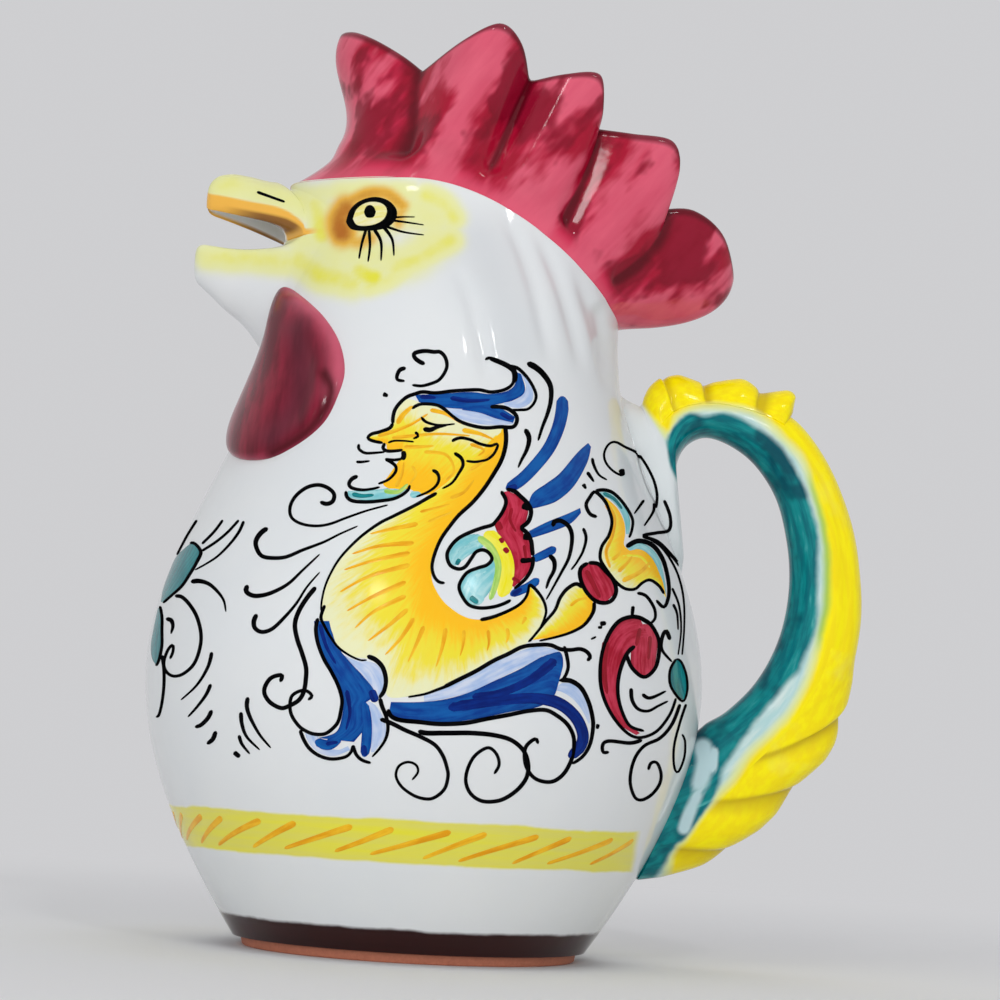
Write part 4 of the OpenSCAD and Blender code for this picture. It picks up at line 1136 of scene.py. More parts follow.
beast_yellow = lay("beast_yellow_right", [beast_body, beast_head, drop, forked_tail], fill_height)

hatch = [
    (7, 0.3, [418,524, 392,529, 370,534]), (7, 0.3, [414,543, 380,546, 352,554]),
    (7, 0.3, [410,553, 372,561, 344,570]), (7, 0.3, [410,565, 370,576, 340,592]),
    (7, 0.3, [406,582, 372,597, 347,611]), (7, 0.3, [406,596, 375,611, 355,628]),
    (7, 0.3, [408,609, 388,626, 368,641]), (7, 0.3, [414,618, 401,638, 385,655]),
    (7, 0.3, [424,626, 416,645, 408,662]), (7, 0.3, [446,628, 442,648, 436,667]),
    (6, 0.3, [464,630, 463,644, 460,656]), (6, 0.3, [488,630, 489,642, 487,651]),
    (6, 0.4, [507,628, 508,636, 506,643]), (6, 0.4, [526,617, 522,624])]
face_tones = [
    (8, 0.5, [397,424, 404,414, 413,406]), (6, 0.4, [378,436, 395,431, 412,424, 428,414]),
    (5, 0.4, [392,438, 412,436, 440,434, 470,436]), (5, 0.4, [430,410, 446,414, 462,424]),
    (6, 0.4, [404,447, 420,447, 434,446]), (5, 0.4, [396,487, 402,474, 404,462]),
    (4, 0.5, [412,466, 416,474, 410,484]), (5, 0.5, [424,452, 446,455, 454,470, 446,480]),
    (5, 0.4, [470,444, 484,450, 478,456]), (6, 0.4, [462,430, 480,434, 494,440]),
    (5, 0.4, [470,470, 482,462, 492,452]), (5, 0.4, [450,498, 464,492, 474,480]),
    (4, 0.4, [420,512, 436,508, 450,504]), (4, 0.4, [428,522, 442,516, 452,512])]
tail_tones = [
    (6, 0.6, [606,503, 614,518, 612,536, 606,552, 610,568]), (6, 0.4, [612,560, 618,555, 621,550]),
    (6, 0.4, [618,572, 628,562, 632,556]), (7, 0.5, [622,581, 640,572, 650,562]),
    (5, 0.4, [570,606, 578,600, 588,598])]
beast_orange = lay("beast_orange_right", brushed(hatch + face_tones + tail_tones), tone_height)

# %% Blue
pale_blue = [
    filled([445,410, 460,419, 480,424, 500,425, 513,424], [445,408, 462,409, 482,412, 502,418, 514,420]),
    filled([505,406, 520,408, 531,402, 533,392, 528,381, 520,373], [503,402, 515,400, 524,393, 526,386,
        523,378, 518,373]),
    filled([352,660, 366,661, 377,665, 383,674, 384,686, 379,696], [344,655, 352,664, 360,674, 367,683,
        373,691, 377,697]),
    filled([366,700, 376,706, 384,720, 385,736, 374,752], [362,700, 366,710, 368,724, 370,740, 371,752]),
    filled([305,731, 308,741, 318,752, 334,756, 350,750], [318,736, 320,742, 327,747, 338,750, 348,746]),
    filled([424,695, 448,687, 476,673, 508,656, 536,647, 558,650], [424,702, 448,698, 476,690, 508,674,
        538,660, 558,652]),
    filled([562,683, 572,684, 582,692, 588,706, 590,722], [552,690, 562,692, 573,699, 582,710, 589,724])]
mid_blue = [
    filled([415,395, 440,394, 470,392, 490,394, 507,391, 515,384, 516,372], [419,402, 440,407, 470,409,
        494,405, 514,400, 525,391, 521,374]),
    filled([464,406, 484,404, 500,408, 515,417], [462,410, 480,413, 496,419, 513,423]),
    broad([562,396, 562,410, 558,428, 549,448, 535,466, 521,480, 506,490], 13, 0.9),
    filled([588,443, 577,453, 560,473, 547,483, 533,493, 528,505], [591,447, 587,463, 574,486, 557,501,
        540,507, 530,509]),
    filled([580,508, 567,514, 547,522, 529,531], [581,513, 570,524, 551,532, 532,538]),
    broad([556,548, 545,554, 532,560], 9, 0.9), broad([539,579, 528,587, 510,595], 9, 0.9),
    filled([314,621, 317,643, 325,660, 337,684, 343,700, 342,716, 336,732, 318,738], [330,621, 337,645,
        351,663, 364,677, 376,694, 366,704, 367,724, 354,742]),
    broad([340,736, 328,745, 315,741], 12, 0.8),
    broad([364,702, 367,725, 366,745, 364,757], 11, 0.9),
    filled([391,702, 420,702, 446,699, 470,692, 494,681, 520,669, 545,655, 560,652, 563,666, 557,680],
        [389,712, 402,719, 432,722, 462,721, 490,716, 515,711, 538,707, 550,700, 556,692, 557,682])]
navy = [
    stroke([448,708, 480,703, 510,699, 538,698, 560,704, 576,718, 583,736, 578,750, 568,757], 14, 0.8),
    stroke([472,697, 500,693, 530,680, 556,660], 9, 1.4), stroke([371,690, 376,702], 9, 0.9),
    stroke([500,413, 509,418, 514,418], 6, 0.8), stroke([450,398, 470,401, 490,400], 7, 0.5),
    stroke([420,397, 436,398], 6, 0.7), stroke([507,489, 517,486], 7, 0.8),
    stroke([512,595, 522,589], 6, 0.9), stroke([320,624, 326,645, 336,664], 6, 0.6),
    stroke([364,745, 365,756], 7, 0.9), stroke([326,744, 338,742], 6, 0.6),
    stroke([347,690, 350,712, 346,730], 6, 0.5)]
blue_pale = lay("blue_pale_right", pale_blue, wash_height)
blue_mid = lay("blue_right", mid_blue, fill_height)
blue_navy = lay("navy_right", navy, tone_height)

# %% Teal, green and crimson
teal_pale = [
    filled([478,534, 462,538, 450,550, 449,563], [489,541, 480,549, 468,556, 456,566]),
    filled([488,546, 492,560, 480,566, 466,574, 460,588, 466,600], [496,554, 500,572, 494,584, 488,594,
        480,602, 472,606]),
    broad([481,541, 467,545, 457,553, 458,563], 19, 0.8),
    broad([486,571, 475,581, 473,593, 483,602], 22, 0.8),
    filled([348,491, 362,491, 374,490, 388,488, 400,484], [348,497, 362,500, 378,500, 394,497, 407,489]),
    broad([410,496, 426,489, 434,480, 432,473], 8, 0.6),
    broad([456,457, 459,465, 455,475, 444,486], 7, 0.8),
    filled([626,549, 638,543, 651,548, 660,560, 664,576, 666,592], [630,553, 639,549, 648,554, 655,565,
        660,579, 664,594]),
    filled([597,493, 606,492, 616,497, 625,508, 630,520, 629,534], [600,496, 608,498, 616,505, 622,514,
        625,524, 626,534])]
teal_full = [
    filled([191,543, 177,556, 169,573, 163,590, 161,602], [199,547, 199,559, 190,574, 178,590, 164,602]),
    filled([158,608, 154,627, 151,645, 152,658, 156,665], [161,610, 162,627, 161,645, 159,658, 157,665]),
    filled([676,660, 671,670, 671,684, 676,694, 683,700], [677,660, 682,664, 686,676, 687,690, 684,700]),
    broad([603,493, 614,499, 622,509], 4, 0.7), broad([456,561, 460,563], 7, 0.9),
    broad([470,597, 478,603], 6, 0.8), broad([352,494, 362,496, 374,495], 5, 0.6)]
yellow_green = [
    broad([484,533, 499,544, 507,561, 507,580, 500,597], 17, 0.9),
    broad([622,556, 640,557, 650,568], 5, 0.6)]
green = [
    broad([478,537, 491,548, 498,564, 496,582, 490,600], 8, 0.7),
    broad([384,491, 398,492, 408,484], 5, 0.6)]
crimson = [
    filled([501,493, 504,502, 500,515, 495,525, 499,536, 503,545, 509,553, 512,562, 513,573, 512,586],
        [508,491, 521,498, 528,508, 526,521, 521,529, 529,541, 531,553, 531,565, 526,575, 514,587]),
    filled([588,564, 582,569, 581,577, 586,589, 594,599, 602,602], [590,564, 598,566, 606,573, 613,582,
        614,593, 606,602]),
    filled([640,619, 630,619, 618,624, 609,637, 603,655, 601,674, 603,692, 611,710, 622,726, 636,735],
        [650,640, 643,642, 635,646, 627,653, 621,665, 618,680, 618,696, 622,712, 630,725, 640,733]),
    broad([642,624, 644,645, 643,662, 644,676], 29, 0.8)]
crimson_dark = [
    stroke([497,522, 501,530], 8, 0.9), stroke([504,548, 508,553], 7, 0.9),
    stroke([500,538, 503,543], 6, 0.9), stroke([512,508, 510,520, 516,532], 5, 0.6),
    stroke([524,545, 526,560], 5, 0.6), stroke([512,578, 520,582], 5, 0.8),
    stroke([586,570, 594,586, 600,598], 7, 0.7), stroke([606,640, 604,668, 607,694], 8, 0.6),
    stroke([640,628, 636,646], 6, 0.7), stroke([650,636, 648,660], 6, 0.6)]
iris = [
    filled([350,220, 354,210, 364,202, 376,200, 386,204, 390,212], [350,221, 356,226, 366,228, 378,226,
        386,221, 390,214])]
pale_teal = lay("teal_pale_right", teal_pale, wash_height)
full_teal = lay("teal_right", teal_full, tone_height)
curl_yellow = lay("curl_yellow_right", yellow_green, fill_height)
curl_green = lay("curl_green_right", green, tone_height)
wing_crimson = lay("crimson_right", crimson, fill_height)
wing_dark = lay("crimson_dark_right", crimson_dark, tone_height)
eye_iris = lay("iris_right", iris, fill_height)

# %% [markdown]
# A yellow stripe runs round the belly, and slanting orange strokes cross it at nearly even steps, except
# under the handle. They are drawn flat, by distances round the belly and heights, and laid on it from there.

# %% Strokes on the stripe
slant_count, slant_run, slant_skip, slant_sway = 34, 17, 0.52, 0.8
slant_w, slant_thin, slant_step = 1.6, 0.5, 0.5
slant_top_gap, slant_low_gap, slant_mid_drop = 2.2, 1.6, 0.6
slants = []
for k in range(slant_count):
    angle = 2 * math.pi * (k + 0.5) / slant_count
    if min(angle, 2 * math.pi - angle) < slant_skip:
        continue
    lean = slant_run * (1 + 0.15 * math.sin(3.1 * k)) * (-1 if angle < math.pi else 1)
    sway = slant_sway * math.sin(5.3 * k)
    at = angle * stripe_r + sway
    line = [(at + lean / 2, stripe_high - slant_top_gap),
            (at - 0.04 * lean, (stripe_low + stripe_high) / 2 - slant_mid_drop),
            (at - lean / 2, stripe_low + slant_low_gap + 0.4 * sway)]
    slants.append(stroke(line, slant_w, slant_thin, step=slant_step))
stripe_slants = lay("stripe_strokes", slants, tone_height, land_round)

near_paint = [black_near, beak_black, beast_yellow, beast_orange, blue_pale, blue_mid, blue_navy, pale_teal,
              full_teal, curl_yellow, curl_green, wing_crimson, wing_dark, eye_iris]
far_paint = [far_copy(piece, piece.name.replace("_right", "_left")) for piece in near_paint]
print(len(near_paint) + len(far_paint) + 1, "pieces of paint")

# %% [markdown]
# ## Shader sums
# A finish is a tree of nodes, and its maths is easier to read as sums. A Wire wraps one socket, and adding,
# multiplying or subtracting it puts a Math node in the tree. Every other node comes from one method that
# sets the node first and then fills its sockets.

# %% Wires and finishes
class Wire:
    """A socket of a finish that takes part in sums as a number does."""

    def __init__(self, finish, socket):
        self.finish, self.socket = finish, socket

    def sum(self, operation, first, second):
        return self.finish.node("Math", {"operation": operation}, {0: first, 1: second})

    def __add__(self, other):
        return self.sum("ADD", self, other)

    def __sub__(self, other):
        return self.sum("SUBTRACT", self, other)

    def __rsub__(self, other):
        return self.sum("SUBTRACT", other, self)

    def __mul__(self, other):
        return self.sum("MULTIPLY", self, other)

    def __pow__(self, other):
        return self.sum("POWER", self, other)

    __radd__, __rmul__ = __add__, __mul__


glass_ior, relief_strength = 1.45, 0.35


def paint_of(red, green, blue):
    """A colour of the screen, each part from 0 to 255, as Blender's linear colour."""
    parts = [c / 255 for c in (red, green, blue)]
    return (*[c / 12.92 if c < 0.04045 else ((c + 0.055) / 1.055) ** 2.4 for c in parts], 1)


class Finish:
    """One glaze or clay: its material and the nodes that make it."""

    def __init__(self, name):
        self.paint = bpy.data.materials.new(name)
        self.paint.use_nodes = True
        self.tree = self.paint.node_tree
        self.shader = self.tree.nodes["Principled BSDF"]

    def node(self, kind, settings=None, sockets=None, output=0):
        made = self.tree.nodes.new("ShaderNode" + kind)
        for name, value in (settings or {}).items():
            setattr(made, name, value)
        for name, value in (sockets or {}).items():
            self.join(made.inputs[name], value)
        return Wire(self, made.outputs[output])

    def join(self, socket, value):
        if isinstance(value, Wire):
            self.tree.links.new(value.socket, socket)
        else:
            socket.default_value = value

    def place(self):
        """Place in the object, in metres."""
        return self.node("TexCoord", output=3)

    def part(self, number):
        """One part of the place in the object, in mm: 0 is along X and 2 is the height."""
        return self.node("SeparateXYZ", {}, {0: self.place()}, number) * (1 / MM)

    def drawn(self, vector, by):
        """A vector times three numbers, which draws a pattern out along the smallest of them."""
        return self.node("VectorMath", {"operation": "MULTIPLY"}, {0: vector, 1: by})

    def uv(self, by_u, by_v):
        """The piece's own UV map, drawn out along both of its directions."""
        return self.drawn(self.node("TexCoord", output=2), (by_u, by_v, 1))

    def held(self, name):
        """A number that the points of the piece hold."""
        return self.node("Attribute", {"attribute_name": name}, output=2)

    def cloud(self, vector, scale, detail=3, roughness=0.55):
        """Soft noise between nought and one."""
        return self.node("TexNoise", sockets={"Vector": vector, "Scale": scale, "Detail": detail,
                                              "Roughness": roughness})

    def step(self, value, low, high):
        """Eases from nought at low to one at high."""
        return self.node("MapRange", {"interpolation_type": "SMOOTHSTEP"},
                         {"Value": value, "From Min": low, "From Max": high})

    def blend(self, share, under, over):
        """Colour between under and over, each a wire or the three parts of a colour of the screen."""
        under, over = (c if isinstance(c, Wire) else paint_of(*c) for c in (under, over))
        return self.node("Mix", {"data_type": "RGBA"}, {0: share, 6: under, 7: over}, output=2)

    def surface(self, colour, roughness, relief, depth, strength):
        """Sets the colour, the roughness and the fine relief, whose depth is in mm."""
        bump = self.node("Bump", {}, {"Strength": strength, "Distance": depth * MM, "Height": relief})
        for name, value in {"Base Color": colour, "Roughness": roughness, "Normal": bump}.items():
            self.join(self.shader.inputs[name], value)
        return self.paint

    def glaze(self, colour, gloss, relief, depth, mirror=0.4):
        """The surface of fired glaze. A dark glaze mirrors less."""
        self.join(self.shader.inputs["IOR"], glass_ior)
        self.join(self.shader.inputs["Specular IOR Level"], mirror)
        return self.surface(colour, gloss, relief, depth, relief_strength)


print("paint of mid grey", [round(part, 3) for part in paint_of(128, 128, 128)])

# %% [markdown]
# ## Washes held by the points
# Thin washes of yellow and amber have no edge that a brush mark could give, so the points of the body and
# the beak hold how strong each wash is there, and so they hold the grey painted shade in the flutes under
# the comb and on the neck under the handle. The lines that they follow are named by their places in the
# picture, as the flutes were. The same is done for the pools of dark glaze in the comb, for the line where
# the green of the handle meets its yellow and for the painted shade in the hollow and the curl of the
# wattle.

# %% Washes
yellow_washes = [
    (0.72, 22, [205,188, 240,186, 290,200, 325,215, 350,245, 400,262, 436,240]),
    (0.66, 24, [330,262, 350,235, 400,212, 436,218]), (0.6, 14, [300,200, 350,190, 410,192]),
    (0.62, 20, [296,238, 318,246, 352,258, 390,262]), (0.86, 15, [206,256, 232,258, 262,260, 300,264]),
    (1.05, 13, [316,206, 319,220, 321,236]), (1.05, 17, [300,262, 324,276, 350,282]),
    (1.3, 12, [360,272, 374,277]), (0.95, 14, [396,268, 424,256, 450,240]),
    (0.95, 13, [426,196, 444,204, 454,218]), (0.8, 12, [404,270, 388,280, 368,286])]
amber_washes = [
    (1.6, 14, [343,233, 340,222, 346,210]), (0.85, 9, [346,238, 358,242, 370,238]),
    (1.0, 8, [352,201, 368,194, 386,194, 402,206]), (0.8, 7, [400,212, 398,224])]
# Grey painted shade in the flutes under the comb and on the neck under the handle.
painted_shade_washes = [(0.8, 26, [480,240, 500,290, 515,350]), (0.6, 20, [620,420, 655,520, 680,640])]


def points_of(piece):
    """Places of a piece's points in mm."""
    places = np.empty(len(piece.data.vertices) * 3)
    piece.data.vertices.foreach_get("co", places)
    return places.reshape(-1, 3) / MM


def hold_washes(piece):
    """Stores how strong each wash and the painted shade are at each point, with none on the inner face of
    a beak.
    """
    points = points_of(piece)
    within = np.zeros(len(points))
    if "inner" in piece.data.attributes:
        piece.data.attributes["inner"].data.foreach_get("value", within)
    for label, washes in (("yellow", yellow_washes), ("amber", amber_washes), ("painted_shade", painted_shade_washes)):
        total = np.zeros(len(points))
        for strength, width, line in washes:
            total = np.maximum(total, strength * line_mark(points, line, width))
        mark_points(piece, label, total * (1 - within))


for piece in (body, upper_beak, lower_beak):
    hold_washes(piece)
print("washes held by", len(body.data.vertices), "points of the body")

# %% Pools, edges and the painted shade of hollows
teal_edge = [683,560, 683,499, 670,467, 666,444, 670,430, 681,419, 689,414, 706,417, 724,413, 743,420,
    762,431, 781,447, 793,467, 802,485, 810,505, 817,528, 818,560, 817,600, 816,622, 811,642, 798,668,
    787,680, 767,706, 747,732, 732,755, 721,770, 716,796, 701,816, 686,836, 675,847, 661,867, 649,886]
yellow_edge = [620,380, 641,403, 666,430, 674,416, 689,407, 706,403, 727,403, 750,407, 765,416, 781,431,
    796,446, 808,463, 818,485, 827,508, 834,539, 836,570, 835,600, 831,620, 824,645, 816,664, 806,690,
    793,714, 775,734, 756,752, 744,767, 732,785, 716,803, 701,820, 686,841, 674,854, 669,880]
flange_edge = [686,570, 683,499, 670,467, 664,440, 641,403]
tint_line = [822,490, 828,530, 829,580, 825,630]
patch_lines = [(10, [703,748, 705,764, 700,784]), (7, [697,796, 690,812, 684,828]), (5, [714,752, 713,768])]
tint_px, flange_low_z = 18, 98
curl_line = [324,374, 331,388, 327,405, 311,428, 292,442, 272,453]
rosy_line = [302,298, 322,312, 336,338, 340,366, 336,392]
# The hollow and the curl's crease of the wattle carry painted shade; rosy marks its lighter outer edge.
wattle_shade_and_rosy_marks = {"hollow": (hollow_line, 17), "crease": (curl_line, 6), "rosy": (rosy_line, 13)}


def side_of_line(points, line):
    """Distance in pixels of each point from a line in the picture, above nought on its left."""
    at = pixels_of(near_side(points) * MM)
    dense = even(line)[0]
    best, side = np.full((2, len(at)), 1e9)
    for a, b in zip(dense[:-1], dense[1:]):
        way = b - a
        along = np.clip(((at - a) @ way) / (way @ way), 0, 1)
        away = at - a - along[:, None] * way
        gap = np.linalg.norm(away, axis=1)
        turn_sign = np.sign(away[:, 0] * way[1] - away[:, 1] * way[0])
        side = np.where(gap < best, turn_sign * gap, side)
        best = np.minimum(gap, best)
    return side


for piece in (handle, crest, feathers):
    points = points_of(piece)
    mark_points(piece, "past_teal", side_of_line(points, teal_edge))
    mark_points(piece, "past_pale", side_of_line(points, yellow_edge))
    flange = smooth((side_of_line(points, flange_edge) + 2) / 4) * smooth((points[:, 2] - flange_low_z) / 6)
    mark_points(piece, "flange", flange)
    mark_points(piece, "tint", line_mark(points, tint_line, tint_px))
    mark_points(piece, "patch", np.max([line_mark(points, line, width) for width, line in patch_lines], 0))
for wattle in (wattle_right, wattle_left):
    points = points_of(wattle)
    for label, (line, width) in wattle_shade_and_rosy_marks.items():
        mark_points(wattle, label, line_mark(points, line, width))
print("teal ends at", teal_edge[-2:], "and yellow starts at", yellow_edge[:2])

# %% [markdown]
# ## The glazes
# White tin glaze is a thick milky glass with a little blue in it. The bands, the washes and the specks are
# mixed into its colour, while its gloss stays nearly even, because all of the paint has melted into the
# same glass. A smooth surface with a very slight ripple gives the wet look of fired glaze.

# %% White glaze with its bands and washes
stripe_out, stripe_in, stripe_end_x, brown_top_z = 0.4, 0.5, (55.5, 58), (7.9, 9)


def white_glaze():
    """Milky white with the washes, the yellow stripe, the brown band at the foot and a few specks, with grey
    painted shade in the flutes and under the handle and painted light inside the mouth.
    """
    pot = Finish("white_glaze")
    at, x, z = pot.place(), pot.part(0), pot.part(2)
    mist = pot.cloud(at, 24)
    colour = pot.blend(mist, (217, 222, 226), (231, 232, 231))
    # Grey painted shade where the points hold it, in the flutes and under the handle.
    colour = pot.blend(pot.held("painted_shade") * 0.3, colour, (178, 184, 190))
    # Painted light: a whiter white on the inner face of the beak lightens the shaded inside of the mouth.
    colour = pot.blend(pot.held("inner"), colour, (250, 250, 248))
    damp = 0.55 + 0.9 * pot.cloud(at, 95, 4)
    strength = pot.held("yellow") * damp
    colour = pot.blend(pot.step(strength, 0.02, 0.62), colour, (230, 231, 166))
    colour = pot.blend(pot.step(strength, 0.55, 1.35) * 0.95, colour, (229, 224, 50))
    strength = pot.held("amber") * damp
    colour = pot.blend(pot.step(strength, 0.05, 0.95) * 0.95, colour, (228, 172, 52))
    colour = pot.blend(pot.step(strength, 0.7, 1.7) * 0.95, colour, (176, 98, 10))
    colour = pot.blend(pot.held("lip"), colour, pot.blend(mist, (243, 190, 84), (238, 172, 58)))
    colour = pot.blend(pot.held("lip_line") * 0.85, colour, (112, 62, 26))
    streak = pot.cloud(pot.drawn(at, (16, 16, 330)), 1, 4)
    sway = (pot.cloud(at, 75) - 0.5) * 1.8
    band = (pot.step(z + sway, stripe_low - stripe_out, stripe_low + stripe_in)
            * (1 - pot.step(z + sway, stripe_high - stripe_in, stripe_high + stripe_out)))
    band = band * (1 - pot.step(x + sway, *stripe_end_x)) * (0.78 + 0.3 * streak)
    colour = pot.blend(band, colour, pot.blend(streak, (214, 205, 70), (243, 236, 20)))
    brown = 1 - pot.step(z + (pot.cloud(at, 110) - 0.5) * 1.3, *brown_top_z)
    colour = pot.blend(brown, colour, pot.blend(streak, (24, 0, 0), (56, 8, 2)))
    dots = pot.node("TexVoronoi", {}, {"Vector": at, "Scale": 52.0})
    speck = (1 - pot.step(dots, 0.012, 0.022)) * pot.step(pot.cloud(at, 40, 2), 0.52, 0.56)
    colour = pot.blend(speck, colour, (96, 78, 66))
    ripple = pot.cloud(at, 70, 2) * 0.7 + pot.cloud(at, 900, 2) * 0.05
    return pot.glaze(colour, 0.06 + 0.06 * pot.cloud(at, 260), ripple, 0.35)


body.data.materials.append(white_glaze())
for half in (upper_beak, lower_beak):
    half.data.materials.append(body.data.materials[0])
print("white glaze on", body.name, "and both halves of the beak")

# %% [markdown]
# The painter's colours share one recipe. The brush leaves streaks along its way, which follow the UV map of
# the stroke in millimetres, and the pigment pools at the stroke's rim.

# %% The colours of the brush
streak_across, streak_along, brush_relief = 0.8, 0.1, 0.02


def brush_colour(name, thin, full, dark, pooled=0.55, mirror=0.25):
    """A colour as it is where the brush ran thin, where it was full and where the pigment pooled."""
    pot = Finish(name)
    at = pot.place()
    streak = pot.cloud(pot.uv(streak_across, streak_along), 1)
    colour = pot.blend(pot.step(streak * 0.65 + pot.cloud(at, 210) * 0.35, 0.36, 0.62), thin, full)
    edge = pot.held("rim") ** 6 * pooled + pot.step(streak, 0.6, 0.8) * 0.35
    colour = pot.blend(edge, colour, dark)
    return pot.glaze(colour, 0.11 + 0.08 * pot.cloud(at, 260), pot.cloud(at, 500, 2), brush_relief, mirror)


def beast_finish():
    """Pale cream at the breast, yellow over the middle and orange at the back."""
    pot = Finish("beast_yellow")
    at = pot.place()
    streak = pot.cloud(pot.uv(0.16, 0.9), 1)
    tone = pot.held("tone") + (streak - 0.5) * 0.5 + (pot.cloud(at, 120) - 0.5) * 0.3
    colour = pot.blend(pot.step(tone, 0.02, 0.4), (234, 234, 188), (240, 222, 50))
    colour = pot.blend(pot.step(tone, 0.4, 0.85), colour, (252, 190, 12))
    return pot.glaze(colour, 0.11 + 0.08 * pot.cloud(at, 260), pot.cloud(at, 500, 2), brush_relief)


black = brush_colour("black_line", (14, 14, 16), (5, 5, 6), (3, 3, 4), mirror=0)
amber = brush_colour("amber_tone", (246, 196, 40), (232, 160, 16), (206, 122, 10), pooled=0.2)
brush_of = {
    black_near: black, beak_black: black,
    beast_yellow: beast_finish(), beast_orange: amber, stripe_slants: amber,
    blue_pale: brush_colour("pale_blue", (206, 214, 232), (164, 188, 226), (120, 156, 214), pooled=0.2),
    blue_mid: brush_colour("blue", (10, 90, 166), (0, 60, 142), (0, 34, 108), mirror=0.2),
    blue_navy: brush_colour("navy", (2, 44, 132), (0, 26, 102), (0, 12, 66), mirror=0.15),
    pale_teal: brush_colour("pale_teal", (176, 218, 220), (116, 192, 200), (52, 150, 160)),
    full_teal: brush_colour("deep_teal", (24, 138, 142), (4, 104, 112), (4, 70, 78)),
    curl_yellow: brush_colour("curl_yellow", (240, 232, 90), (238, 226, 20), (214, 196, 20), pooled=0.2),
    curl_green: brush_colour("curl_green", (196, 222, 120), (140, 196, 84), (92, 160, 90), pooled=0.2),
    wing_crimson: brush_colour("crimson_paint", (200, 54, 82), (164, 6, 40), (108, 0, 22)),
    wing_dark: brush_colour("dark_crimson", (158, 10, 36), (132, 4, 26), (96, 0, 16)),
    eye_iris: brush_colour("iris", (238, 234, 196), (232, 222, 120), (196, 160, 40))}
for near, far_one in zip(near_paint, far_paint):
    for piece in (near, far_one):
        piece.data.materials.append(brush_of[near])
stripe_slants.data.materials.append(brush_of[stripe_slants])
print(len(set(brush_of.values())), "brush colours")

# %% [markdown]
# The comb and the wattles are flooded with crimson. It breaks to pink where it was brushed thin, pools
# nearly black in the grooves and is darker along the rim, and on the wattles painted shade darkens the
# hollow and the curl, so those places are held by the points of the piece.

# %% Crimson glaze
comb_brush_turn = math.radians(52)


def comb_finish():
    """Brushed aslant in broad patches, pink where thin and nearly black where it pooled."""
    pot = Finish("comb_crimson")
    at = pot.place()
    turned = pot.node("Mapping", sockets={"Vector": at, "Rotation": (0, comb_brush_turn, 0)})
    patches = pot.cloud(pot.drawn(turned, (34, 90, 100)), 1, roughness=0.5)
    streak = pot.cloud(pot.drawn(turned, (45, 140, 210)), 1)
    blot = pot.cloud(at, 52, roughness=0.6)
    rise, middle = pot.held("rise"), pot.held("middle")
    colour = pot.blend(pot.step(streak * 0.4 + blot * 0.6, 0.42, 0.58), (166, 12, 46), (202, 40, 76))
    pink = pot.step(patches * 0.8 + middle * 0.16 + streak * 0.2, 0.52, 0.64)
    colour = pot.blend(pink * 0.85, colour, pot.blend(streak, (208, 68, 98), (230, 114, 134)))
    colour = pot.blend((1 - pot.step(rise, 0.0, 0.14)) * 0.6, colour, (226, 92, 118))
    dark = pot.step(1.12 - patches - middle * 0.12 + (blot - 0.5) * 0.8, 0.56, 0.68)
    colour = pot.blend(dark * pot.step(rise, 0.08, 0.2) * 0.8, colour, (122, 0, 28))
    colour = pot.blend(pot.step(pot.held("pool") * (0.4 + 1.1 * blot), 0.4, 0.9) * 0.85, colour, (84, 0, 16))
    # A thin darker line along the rim.
    colour = pot.blend(pot.step(rise, 0.955, 0.99) * 0.8, colour, (92, 4, 22))
    return pot.glaze(colour, 0.05 + 0.05 * pot.cloud(at, 200), pot.cloud(at, 90) + streak * 0.15, 0.25, 0.3)


def wattle_finish():
    """Painted shade down the hollow, rosy on the outer edge and nearly black painted shade where the curl
    turns over.
    """
    pot = Finish("wattle_crimson")
    at = pot.place()
    streak = pot.cloud(pot.drawn(at, (230, 90, 34)), 1)
    blot = pot.cloud(at, 90)
    colour = pot.blend(pot.step(streak, 0.35, 0.65), (96, 0, 26), (142, 18, 48))
    # Painted shade down the pressed hollow of the wattle.
    colour = pot.blend(pot.held("hollow") * 0.85, colour, pot.blend(streak, (66, 8, 24), (116, 44, 62)))
    colour = pot.blend(pot.step(pot.held("edge"), 0.8, 1) * 0.5, colour, (190, 70, 98))
    colour = pot.blend(pot.held("rosy") * (0.5 + 0.6 * blot), colour, (206, 96, 118))
    # Nearly black painted shade in the crease where the curl turns over.
    colour = pot.blend(pot.held("crease") * 0.9, colour, (72, 0, 14))
    return pot.glaze(colour, 0.1 + 0.1 * pot.cloud(at, 200), blot, 0.25, 0.25)


comb.data.materials.append(comb_finish())
wattle_paint = wattle_finish()
for wattle in (wattle_right, wattle_left):
    wattle.data.materials.append(wattle_paint)
print("crimson on the comb and the wattles")

